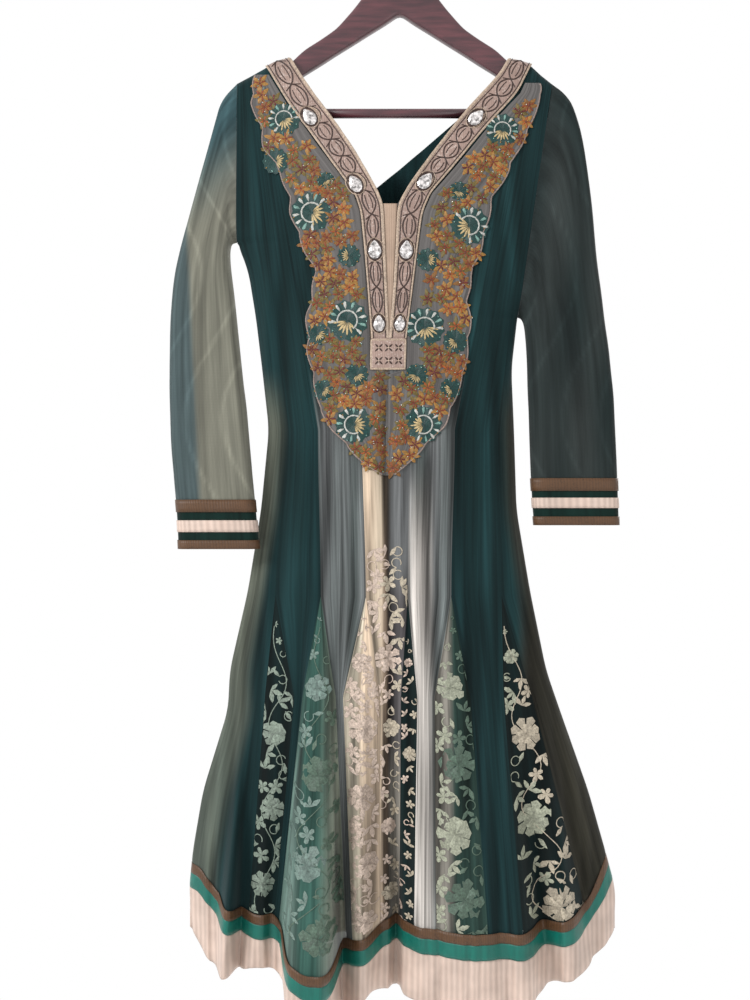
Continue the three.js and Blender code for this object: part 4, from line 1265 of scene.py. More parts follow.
@dataclass
class Body:
    """Front and back panels, godets, the slip, and the borders of the hem."""

    form: DressForm
    net: Material
    sheer: Material
    slip: Material
    brocade: Material
    satin: Material
    silk: Material
    rows: int = 230
    godet_rows: int = 90
    hem_columns: int = 260
    hem_wall: float = 0.0006
    under_ribbons: float = 0.8
    slip_inset: float = 17
    slip_top: float = -432
    slip_low: float = -1228
    sheer_green: float = 0.71
    pale_dyes: tuple = ("big_fold", "grey_left", "peach", "beige", "grey_right", "veiled")
    front: tuple = (
        Panel("front_side_left", 44, False, "side_left"), Panel("godet_front_1", 16, True, "night"),
        Panel("front_panel_left", 18, False, "green"), Panel("godet_front_2", 44, True, "big_fold"),
        Panel("front_centre_left", 44, False, "grey_left"), Panel("godet_front_3", 18, True, "peach"),
        Panel("front_centre", 26, False, "beige"), Panel("godet_front_4", 8, True, "night"),
        Panel("front_centre_right", 48, False, "grey_right"), Panel("godet_front_5", 26, True, "veiled"),
        Panel("front_panel_right", 26, False, "green"), Panel("godet_front_6", 30, True, "night"),
        Panel("front_side_right", 26, False, "side_right"),
    )
    back: tuple = (
        Panel("back_side_left", 26, False, "green"), Panel("godet_back_1", 20, True, "night"),
        Panel("back_panel_left", 34, False, "green"), Panel("godet_back_2", 18, True, "night"),
        Panel("back_centre", 26, False, "green"), Panel("godet_back_3", 18, True, "night"),
        Panel("back_panel_right", 34, False, "green"), Panel("godet_back_4", 20, True, "night"),
        Panel("back_side_right", 26, False, "green"),
    )

    def creased(self, side: Side, dye: str, flat: Array) -> Array:
        """Give the colours of a panel, with painted light on the ridges of its creases and painted shade in their
        hollows.

        Args:
            side: Front or back.
            dye: Name of the panel's dye.
            flat: Rows of x, height and z.

        Returns:
            Rows of red, green, blue and cover.
        """
        colours = self.dyed(dye, flat)
        # Painted light on the crease ridges and painted shade in their hollows.
        crease_shade = np.clip(self.form.crease_depth(side, flat[:, 0], flat[:, 2]), -3, 3)
        patches = 0.16 * wander(flat[:, 0] / 90, flat[:, 2] / 260, 6.0)
        colours[:, :3] *= (1 + patches + crease_shade * (0.19 if dye in self.pale_dyes else 0.15))[:, None]
        return colours

    def dyed(self, dye: str, flat: Array) -> Array:
        """Give the colours of a panel at its flat points, with painted shadows in two creases and a painted
        highlight on the big fold.

        Args:
            dye: Name of the panel's dye.
            flat: Rows of x, height and z.

        Returns:
            Rows of red, green, blue and cover.
        """
        x, z = flat[:, 0], flat[:, 2]
        skirt, low = step(-z, 560, 90), step(-z, 840, 260)
        streak = 0.5 + 0.5 * wander(x / 26, z / 900, 5.0)
        green = blend(Dye.GREEN, Dye.DEEP, 0.15 + 0.6 * streak)
        if dye == "green":
            return green
        if dye == "night":
            return blend(Dye.NIGHT, Dye.DEEP, streak)
        if dye == "side_left":
            reach = mix(30, 46, low) - (x - self.form.edge(0, z))
            return over(green, Dye.GREIGE, step(reach, 0, 22) * skirt * (1 - 0.4 * low))
        if dye == "side_right":
            reach = mix(26, 90, low) - (self.form.edge(1, z) - x)
            return over(green, Dye.OLIVE, step(reach, 0, 26) * skirt)
        if dye == "big_fold":
            base = blend(Dye.SAGE, Dye.GREIGE, step(x, -104, 30))
            # The aqua along the left edge of the big fold is a painted highlight.
            return over(base, Dye.AQUA, 0.6 * step(-x, 118, 14) * low)
        if dye == "peach":
            start, stop = (self.form.seam(Side.FRONT, 2, which)(z) for which in (0, 1))
            share = (x - start) / np.maximum(stop - start, 1)
            # A painted shadow darkens the peach godet along its groove.
            groove_shadow = 0.6 * np.exp(-(((share - 0.42) / 0.06) ** 2))
            return over(blend(Dye.BEIGE, Dye.PEACH, step(share, 0.3, 0.3)), Dye.UMBER, groove_shadow)
        if dye == "beige":
            base = blend(Dye.BEIGE, Dye.PEACH, 0.5 + 0.5 * streak)
            right = over(blend(Dye.LILAC, Dye.DUSK, step(-z, 790, 80)), Dye.MAUVE, step(-z, 1010, 90))
            base = mix(base, right, step(x, -19, 4)[:, None])
            # A painted shadow where the bib folds inward darkens a narrow band.
            return over(base, Dye.UMBER, 0.8 * step(x, -25, 5) * (1 - step(x, -17, 5)))
        if dye == "veiled":
            return blend(Dye.MAUVE, Dye.POND, step(x, 56, 10))
        pale = blend(Dye.GREY, Dye.LILAC, streak)
        if dye == "grey_right":
            strip = step(x, 4, 14) * (1 - step(x, 30, 14)) * step(-z, 670, 150)
            pale = over(pale, Dye.PALE, strip)
        green[:, :3] *= self.sheer_green
        return mix(green, pale, skirt[:, None])

    def panel(self, side: Side, number: int, panel: Panel) -> Cloth:
        """Build one panel or godet between its seams.

        Args:
            side: Front or back.
            number: Place of the panel, counted from the left.
            panel: Its name, columns and dye.

        Returns:
            The cloth.
        """
        form = self.form
        count = len(self.front if side is Side.FRONT else self.back)
        if number == 0:
            start = lambda z: form.edge(0, z)
        else:
            start = form.seam(side, (number - 1) // 2, (number - 1) % 2)
        if number == count - 1:
            stop = lambda z: form.edge(1, z)
        else:
            stop = form.seam(side, number // 2, number % 2)
        pattern = Pattern(panel.node + "_net")

        def shape(u: Array, v: Array) -> Array:
            """Place the grid between the seams, from the top edge to the ribbons."""
            share = u
            if number == 0:
                share = 1 - np.cos(u * np.pi / 2)
            if number == count - 1:
                share = np.sin(u * np.pi / 2)
            x_at = lambda z: mix(start(z), stop(z), share)
            low = form.level(form.hem[side], x_at, np.full_like(u, form.hem_z))
            if panel.godet:
                top = np.full_like(u, form.knee_z)
            else:
                top = form.level(lambda x: form.top(side, x), x_at, np.full_like(u, -250.0))
            z = mix(top, low, v ** (1.0 if panel.godet else 1.22))
            sunk = step(low - z, -form.ribbon_rise - 5, 8)
            return np.stack([x_at(z), -self.under_ribbons * sunk, z], axis=1)

        rows = self.godet_rows if panel.godet else self.rows
        pattern.cloth(panel.columns, rows, shape, lambda flat: self.creased(side, panel.dye, flat))
        weld = 2e-6 if panel.godet else 0.0
        net = self.sheer if panel.dye in self.pale_dyes else self.net
        piece = pattern.finish(lambda flat: form.lay(side, flat), net, 0, side, weld)
        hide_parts(panel.node)
        return pattern.cloth_of(piece)

    def strip(
        self,
        side: Side,
        name: str,
        node: str,
        drop: tuple[float, float],
        lift: tuple[float, float],
        finish: Material,
        rows: int,
        silk: bool = False,
    ) -> Cloth:
        """Build one border that runs along the hem.

        Args:
            side: Front or back.
            name: Name of the piece.
            node: CAD node that it stands for.
            drop: Heights of its two edges over the hem; the silk does not read it.
            lift: Height above the cloth at its upper and lower edge.
            finish: Material.
            rows: Faces across.
            silk: Whether the strip is the pleated silk under the hem.

        Returns:
            The cloth.
        """
        form = self.form
        pattern = Pattern(name)

        def shape(u: Array, v: Array) -> Array:
            """Place the strip along the hem."""
            share = 0.5 - 0.5 * np.cos(np.pi * u)
            share = mix(u, share, 0.35)
            x_at = lambda z: mix(form.edge(0, z), form.edge(1, z), share)
            hem = form.level(form.hem[side], x_at, np.full_like(u, form.hem_z))
            if silk:
                z = hem - 0.3 - v * form.silk[side](x_at(hem))
            else:
                z = hem + mix(drop[0], drop[1], v)
            x = x_at(np.maximum(z, hem - 20))
            calm = smooth(np.minimum(share, 1 - share) * 22)
            rim = np.where(share > 0.5, np.maximum(x, x_at(z)), np.minimum(x, x_at(z)))
            x = mix(rim, x, calm)
            out = mix(lift[0], lift[1], v)
            if silk:
                out = out + 1.4 * v * np.sin(x / 5.2 + 2 * np.sin(x / 31)) + 2.2 * v * np.sin(x / 17)
            return np.stack([x, out * mix(0.1, 1, calm), z], axis=1)

        pattern.cloth(self.hem_columns, rows, shape, Dye.PLAIN.value)
        piece = pattern.finish(lambda flat: form.lay(side, flat), finish, self.hem_wall, side)
        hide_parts(node)
        return pattern.cloth_of(piece)

    def lining(self) -> Cloth:
        """Build the slip inside the dress as one tube."""
        form = self.form
        pattern = Pattern("slip")

        def shape(u: Array, v: Array) -> Array:
            """Keep the shares: the tube is shaped when it is laid."""
            return np.stack([u * 1000, np.zeros_like(u), -v * 1000], axis=1)

        def lay(flat: Array) -> Array:
            """Shape the tube inside the dress, with soft folds that open downwards."""
            turn = flat[:, 0] / 1000 * 2 * np.pi
            z = mix(self.slip_top, self.slip_low, -flat[:, 2] / 1000)
            left, right = form.edge(0, z) + self.slip_inset, form.edge(1, z) - self.slip_inset
            half, middle = (right - left) / 2, (right + left) / 2
            sine = np.sin(turn)
            wave = 1 + 0.05 * smooth((-700 - z) / 400) * np.sin(9 * turn + z / 200)
            front, back = form.depth_of[Side.FRONT](z), form.depth_of[Side.BACK](z)
            depth = 0.5 * np.where(sine > 0, back, front) * wave
            y = depth * np.sign(sine) * np.abs(sine) ** 0.9
            return np.stack([middle + half * np.cos(turn), y, z], axis=1) / 1000

        pattern.cloth(96, 80, shape, Dye.DEEP.value)
        piece = pattern.finish(lay, self.slip, 0, None, 1e-6)
        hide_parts("lining")
        return pattern.cloth_of(piece)

    def build(self) -> dict[str, Cloth]:
        """Build every piece of the body.

        Returns:
            The cloths by the names of the nodes that they stand for.
        """
        made = {}
        for side, panels in ((Side.FRONT, self.front), (Side.BACK, self.back)):
            for number, panel in enumerate(panels):
                made[panel.node] = self.panel(side, number, panel)
        rise, teal = self.form.ribbon_rise, self.form.teal_rise
        strips = (
            ("brown", "brocade_ribbon", (rise, teal - 1), (1.2, 1.4), self.brocade, 3, False),
            ("teal", "satin_ribbon", (teal, -1), (1.0, 1.3), self.satin, 5, False),
            ("silk", "silk_border", (0, 1), (0.2, 0.0), self.silk, 16, True),
        )
        for side in Side:
            tag = side.name.lower()
            for kind, name, *sizes in strips:
                node = f"hem_{kind}_{tag}"
                made[node] = self.strip(side, f"{name}_{tag}", node, *sizes)
        made["lining"] = self.lining()
        return made


# ---------------------------------------------------------------- sleeves


@dataclass
class Sleeves:
    """Both sheer sleeves and the ribbons of their cuffs."""

    net: Material
    brocade: Material
    silk: Material
    left: tuple = (
        SleeveRow(-205.5, -202, -207.5, -404, 14, 0), SleeveRow(-226, -223, -211, -404.6, 15, 0),
        SleeveRow(-234, -248, -213, -406, 16, 0), SleeveRow(-249, -304, -215, -410, 17, 0),
        SleeveRow(-264, -363, -215.5, -422, 17, -1), SleeveRow(-279, -413, -214, -440, 16, -3),
        SleeveRow(-288, -464, -209, -475, 15, -6), SleeveRow(-291, -540, -202, -540, 14, -12),
        SleeveRow(-289, -616, -193, -616, 14, -20), SleeveRow(-284, -690, -185.5, -690, 13, -27),
        SleeveRow(-278, -746, -179.5, -746, 13, -31), SleeveRow(-275.6, -791, -175.5, -791, 13, -33),
    )
    right: tuple = (
        SleeveRow(192.5, -203, 149.5, -499, 14, 0), SleeveRow(209, -215, 151.5, -499.6, 15, 0),
        SleeveRow(223.5, -237, 153, -500.4, 16, 0), SleeveRow(234, -286, 154.5, -502, 17, 0),
        SleeveRow(242, -350, 156, -505, 18, 0), SleeveRow(247.5, -413, 157.5, -510, 18, -1),
        SleeveRow(255, -470, 159, -520, 17, -2), SleeveRow(262.5, -530, 160.5, -545, 16, -4),
        SleeveRow(270, -604, 162, -604, 15, -7), SleeveRow(273, -667, 163.5, -667, 14, -9),
        SleeveRow(274.5, -718, 165.5, -718, 13, -10), SleeveRow(275.6, -762, 169, -762, 13, -10),
    )
    left_cuff: tuple = ((-730, -745.5), (-755.5, -770), (-780, -791))
    right_cuff: tuple = ((-703, -719), (-727.5, -740.5), (-751, -762))
    girth: float = 240
    ring_step: float = 55
    around: int = 72
    along: int = 150
    cuff_lift: float = 1.2
    cuff_wall: float = 0.0007

    def tube(
        self,
        form: SleeveForm,
        name: str,
        rings: tuple[float, float],
        grid: tuple[int, int],
        lift: float,
        finish: Material,
        dye: Lay | Colour,
        thickness: float,
    ) -> Cloth:
        """Build a tube on a sleeve between two rings.

        Args:
            form: The sleeve.
            name: Name of the piece.
            rings: First and last ring number.
            grid: Faces round it and along it.
            lift: Height above the net.
            finish: Material.
            dye: One colour, or a function from metres to rows of colours.
            thickness: Thickness of its wall in metres, or 0.

        Returns:
            The cloth.
        """
        pattern = Pattern(name)
        unit = np.array([self.girth, 1, -self.ring_step])

        def shape(u: Array, v: Array) -> Array:
            """Give millimetres round the sleeve, above it and down it."""
            return np.stack([u, np.full_like(u, lift), mix(rings[0], rings[1], v)], axis=1) * unit

        tints = (lambda flat: dye(form.lay(flat / unit))) if callable(dye) else dye
        pattern.cloth(*grid, shape, tints)
        piece = pattern.finish(lambda flat: form.lay(flat / unit), finish, thickness, None, 1e-6)
        return pattern.cloth_of(piece)

    def dyed(self, tag: str, wrist_z: float, points: Array) -> Array:
        """Shade a sleeve from dark at the shoulder to sheer, and dark again at the cuff.

        Args:
            tag: left or right.
            wrist_z: Height at which the cuff starts.
            points: Rows of x, y and z in metres.

        Returns:
            Rows of red, green, blue and cover.
        """
        x, z = points[:, 0] * 1000, points[:, 2] * 1000
        if tag == "left":
            inner = step(x + 0.06 * (z + 560), -262, 8)
            top = 1 - step(0.8 * (x + 240) - z, 270, 120)
            body = over(blend(Dye.SLEEVE_OUTER, Dye.SLEEVE_INNER, inner), Dye.SLEEVE_TOP, top)
        else:
            streak = 0.5 + 0.5 * wander(x / 60, z / 240, 2.0)
            body = blend(Dye.SLEEVE_DARK, Dye.SLEEVE_DUSTY, streak)
        # Thin pale lines are painted highlights on the swirling creases of the sleeve.
        crease_highlights = np.exp(-((np.sin(x / 15 + 2.2 * np.sin(z / 57)) / 0.16) ** 2))
        body[:, :3] *= (1 + 0.35 * crease_highlights)[:, None]
        return over(body, Dye.WRIST, step(-z, -wrist_z, 4))

    def build(self) -> dict[str, Cloth]:
        """Build both sleeves and their cuffs, by the names of their nodes."""
        made = {}
        sides = (
            ("left", self.left, self.left_cuff, 1.0),
            ("right", self.right, self.right_cuff, 2.4),
        )
        for tag, rows, cuff, seed in sides:
            form = SleeveForm(rows, seed)
            dye = lambda points, tag=tag, wrist_z=cuff[0][0]: self.dyed(tag, wrist_z, points)
            grid = (self.around, self.along)
            sleeve = self.tube(form, f"net_sleeve_{tag}", (0, form.last), grid, 0, self.net, dye, 0)
            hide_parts(f"sleeve_{tag}_upper", f"sleeve_{tag}_lower")
            made[f"sleeve_{tag}"] = sleeve
            finishes = (self.brocade, self.silk, self.brocade)
            for part, (high, low), finish in zip(("top", "silk", "end"), cuff, finishes):
                node = f"cuff_{tag}_{part}"
                made[node] = self.tube(
                    form,
                    f"cuff_ribbon_{tag}_{part}",
                    (form.ring_at(high), min(form.ring_at(low), form.last)),
                    (self.around, 3),
                    self.cuff_lift,
                    finish,
                    Dye.PLAIN.value,
                    self.cuff_wall,
                )
                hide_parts(node)
        return made


# ---------------------------------------------------------------- neck bands


class BandRow(NamedTuple):
    """Inner and outer edge of a neck band, row by row down the neck."""

    in_x: float
    in_z: float
    out_x: float
    out_z: float


@dataclass
class BandPath:
    """Middle line of a neck band, read by the distance from the shoulder."""

    rows: tuple[BandRow, ...]

    def __post_init__(self) -> None:
        """Measure the middle line."""
        table = np.array(self.rows, float)
        steps = np.linspace(0, len(table) - 1, 400)
        dense = [even_profile(list(column), 0.25)(steps) for column in table.T]
        self.inner = np.stack(dense[:2], axis=1)
        self.outer = np.stack(dense[2:], axis=1)
        middle = (self.inner + self.outer) / 2
        runs = np.linalg.norm(np.diff(middle, axis=0), axis=1)
        self.run = np.concatenate([[0], np.cumsum(runs)])
        self.length = float(self.run[-1])

    def at(self, down: Array, across: Array) -> Array:
        """Give x and z at distances down and shares across, 0 at the inner edge."""
        ends = [np.interp(down, self.run, side[:, k]) for side in (self.inner, self.outer) for k in (0, 1)]
        return np.stack([mix(ends[0], ends[2], across), mix(ends[1], ends[3], across)], axis=1)

    def nearest(self, x: float, z: float) -> float:
        """Give the distance down at which the middle line passes nearest to a point."""
        middle = (self.inner + self.outer) / 2
        away = np.linalg.norm(middle - np.array([x, z]), axis=1)
        return float(self.run[np.argmin(away)])


class Stone(NamedTuple):
    """Pear stone: its node, place, turn in degrees and size."""

    node: str
    x: float
    z: float
    turn: float
    size: float


@dataclass
class NeckBands:
    """Scrolled bands round the neck, the placket's insert and end, and the pear stones."""

    form: DressForm
    cloth: Material
    thread: Material
    silk: Material
    crystal: Material
    left: tuple = (
        BandRow(-139.5, -172.5, -169, -184.5), BandRow(-112, -215, -141, -232),
        BandRow(-83, -254, -111, -273), BandRow(-57, -293, -84, -311), BandRow(-29, -344, -57, -348),
        BandRow(-21.8, -363, -49, -372), BandRow(-19.6, -420, -44.5, -420),
        BandRow(-17.2, -475, -40, -475), BandRow(-15.1, -530, -35.5, -530),
    )
    right: tuple = (
        BandRow(137.5, -173.5, 165, -182), BandRow(122, -197.5, 147, -219),
        BandRow(82.5, -241, 108, -262), BandRow(40, -295.5, 65, -315), BandRow(12, -335, 37.5, -347),
        BandRow(-3.7, -363, 27, -372), BandRow(-6, -420, 20.4, -420), BandRow(-9, -475, 13.5, -475),
        BandRow(-13.9, -530, 6.6, -530),
    )
    stones: tuple = (
        Stone("crystal_left_1", -114, -251, 35, 17), Stone("crystal_left_2", -56.5, -337, 32, 17),
        Stone("crystal_left_3", -32, -420, 2, 17), Stone("crystal_left_4", -26.8, -512, 2, 15),
        Stone("crystal_right_1", 95, -252, -43, 17), Stone("crystal_right_2", 31, -333, -38, 17),
        Stone("crystal_right_3", 7, -420, -4, 17), Stone("crystal_right_4", -1, -512, -5, 14),
    )
    face: float = 2.2

    def lay(self, flat: Array) -> Array:
        """Lay a flat piece on the front of the dress."""
        return self.form.lay(Side.FRONT, flat)

    def band(self, tag: str, rows: tuple) -> Cloth:
        """Build one band and the cords on it.

        Args:
            tag: left or right.
            rows: Edges of the band.

        Returns:
            The band with its scrollwork.
        """
        path = BandPath(rows)
        base = Pattern(f"neck_band_cloth_{tag}")

        def shape(u: Array, v: Array) -> Array:
            """Place the band, slightly crowned."""
            place = path.at(v * path.length, u)
            return np.stack([place[:, 0], self.face - 1.6 * np.abs(u - 0.5) ** 2, place[:, 1]], axis=1)

        base.cloth(10, 150, shape, Dye.BAND.value)
        cloth = base.finish(self.lay, self.cloth, 0.0012, Side.FRONT)
        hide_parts(f"neck_band_{tag}")

        work = Pattern(f"neck_band_scrolls_{tag}", lift=self.face - 0.2)
        steps = np.linspace(0, path.length, 150)
        for across, width, dye in (
            (0.05, 3.6, Dye.PIPING), (0.16, 1.3, Dye.SCROLL), (0.97, 2.4, Dye.PIPING), (0.9, 1.2, Dye.SCROLL),
        ):
            work.cord(path.at(steps, np.full_like(steps, across)), width, dye.value, 1.0)
        middles = [path.nearest(s.x, s.z) for s in self.stones if tag in s.node]
        joints = [0.0]
        for place in middles:
            start = joints[-1]
            count = max(1, round((place - 13 - start) / 30))
            joints += [mix(start, place - 13, (k + 1) / count) for k in range(count)]
            joints.append(place + 13)
        for start, stop in zip(joints, joints[1:]):
            run = np.linspace(start, min(stop, path.length), 15)
            swell = np.sin(np.pi * (run - start) / (stop - start)) ** 0.7
            holds = any(start < place < stop for place in middles)
            for sign in (-1, 1):
                work.cord(path.at(run, 0.53 + sign * 0.27 * swell), 2.1, Dye.SCROLL.value, 1.0)
                if holds:
                    work.cord(path.at(run[1:-1], 0.53 + sign * 0.24 * swell[1:-1]), 1.6, Dye.PIPING.value, 1.3)
                else:
                    work.cord(path.at(run[3:-3], 0.53 + sign * 0.12 * swell[3:-3]), 1.5, Dye.SCROLL.value, 0.9)
            for sign in (-1, 1):
                middle = (start + stop) / 2
                tip = path.at(np.array([start, start + 5]), np.array([0.53, 0.53 + sign * 0.3]))
                work.cord(mix(tip[:1], tip[1:], np.linspace(0, 1, 5)[:, None]), 1.5, Dye.SCROLL.value, 0.9)
                for k in (-0.25, 0, 0.25):
                    spot = path.at(np.array([middle + k * (stop - start)]), np.array([0.53 + sign * 0.34]))[0]
                    work.dome(tuple(spot), 0.9, Dye.PIPING.value, 0.9, 6)
        for row in self.stones:
            if tag in row.node:
                a, lean = np.linspace(0, 2 * np.pi, 21)[:-1], math.radians(row.turn)
                for grow, width, dye in ((0.66, 2.4, Dye.SCROLL), (0.8, 1.3, Dye.PIPING)):
                    side, along = 0.78 * grow * row.size * np.cos(a), 1.1 * grow * row.size * np.sin(a)
                    ring = np.stack(
                        [
                            row.x + side * math.cos(lean) - along * math.sin(lean),
                            row.z + side * math.sin(lean) + along * math.cos(lean),
                        ],
                        axis=1,
                    )
                    work.cord(ring, width, dye.value, 1.4, closed=True)
        return base.cloth_of(cloth, work.finish(self.lay, self.thread, 0, Side.FRONT))

    def end(self) -> list[Cloth]:
        """Build the closed end of the bands with its crossed motifs, and the silk insert."""
        block = Pattern("neck_band_end_cloth")

        def shape(u: Array, v: Array) -> Array:
            """Place the block under the bands."""
            x = mix(mix(-35.8, -37, v), mix(6.6, 5.8, v), u)
            return np.stack([x, np.full_like(u, self.face), mix(-529.5, -569, v)], axis=1)

        block.cloth(12, 12, shape, Dye.BAND.value)
        cloth = block.finish(self.lay, self.cloth, 0.0012, Side.FRONT)
        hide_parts("neck_band_end")
        work = Pattern("neck_band_end_scrolls", lift=self.face - 0.1)
        frame_path = np.array([(-36, -532), (6, -532), (5, -568), (-36.5, -568)], float)
        dense = np.vstack([np.linspace(frame_path[i], frame_path[(i + 1) % 4], 9)[:-1] for i in range(4)])
        work.cord(dense, 2.4, Dye.PIPING.value, 1.0, closed=True)
        for column in range(3):
            for row in range(2):
                x, z = -27 + 12.2 * column, -542 - 16 * row
                for turn in (45, 135, 225, 315):
                    work.petal((x, z), turn, 6.6, 3.2, Dye.SCROLL.value, 0.9)
                work.dome((x, z), 1.4, Dye.PIPING.value, 1.2)
        scrolls = work.finish(self.lay, self.thread, 0, Side.FRONT)
        insert = Pattern("placket_silk")

        def slip(u: Array, v: Array) -> Array:
            """Place the silk between the bands."""
            z = mix(-361.5, -528, v)
            left = np.interp(-z, (361, 420, 475, 528), (-21.8, -19.6, -17.2, -15.1))
            right = np.interp(-z, (361, 420, 475, 528), (-3.9, -6.2, -9.2, -13.8))
            return np.stack([mix(left, right, u), np.full_like(u, 1.0), z], axis=1)

        insert.cloth(6, 60, slip, Dye.SILK.value)
        silk = insert.finish(self.lay, self.silk, 0.0006, Side.FRONT)
        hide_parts("placket_insert")
        return [block.cloth_of(cloth, scrolls), insert.cloth_of(silk)]

    def stone(self, row: Stone) -> Piece:
        """Cut one pear stone: a round table, a girdle and facets between them."""
        bm = bmesh.new()
        angle = math.radians(row.turn)
        ring = bmesh.ops.create_circle(bm, cap_ends=True, segments=14, radius=1)["verts"]
        for vert in ring:
            pinch = 1 - 0.5 * smooth((vert.co.y + 0.2) / 1.3)
            a, b = vert.co.x * 0.48 * row.size * pinch, vert.co.y * 0.68 * row.size
            vert.co = (
                row.x + a * math.cos(angle) - b * math.sin(angle),
                self.face + 0.4,
                row.z + a * math.sin(angle) + b * math.cos(angle),
            )
        centre = np.mean([vert.co for vert in ring], axis=0)
        bm.faces.ensure_lookup_table()
        face = bm.faces[0]
        for ratio, out in ((1.0, 1.0), (0.82, 1.0), (0.67, 0.8)):
            face = bmesh.ops.extrude_discrete_faces(bm, faces=[face])["faces"][0]
            for vert in face.verts:
                x, y, z = vert.co
                vert.co = (centre[0] + (x - centre[0]) * ratio, y + out, centre[2] + (z - centre[2]) * ratio)
        bmesh.ops.holes_fill(bm, edges=[edge for edge in bm.edges if edge.is_boundary], sides=0)
        flat = np.array([vert.co for vert in bm.verts])
        for vert, point in zip(bm.verts, self.lay(flat)):
            vert.co = point
        bmesh.ops.recalc_face_normals(bm, faces=bm.faces[:])
        piece = finished(row.node + "_cut", bm, self.crystal)
        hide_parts(row.node)
        return piece

    def build(self) -> list[Cloth]:
        """Build the bands, their end and insert, and the stones."""
        made = [self.band("left", self.left), self.band("right", self.right), *self.end()]
        for row in self.stones:
            self.stone(row)
        return made


# ---------------------------------------------------------------- bib


class BibRow(NamedTuple):
    """Inner and outer edge of the bib."""

    z: float
    inner: float
    outer: float


class Flower(NamedTuple):
    """Embroidered flower: its place, radius, and the direction of its cream heart."""

    x: float
    z: float
    radius: float
    heart: float


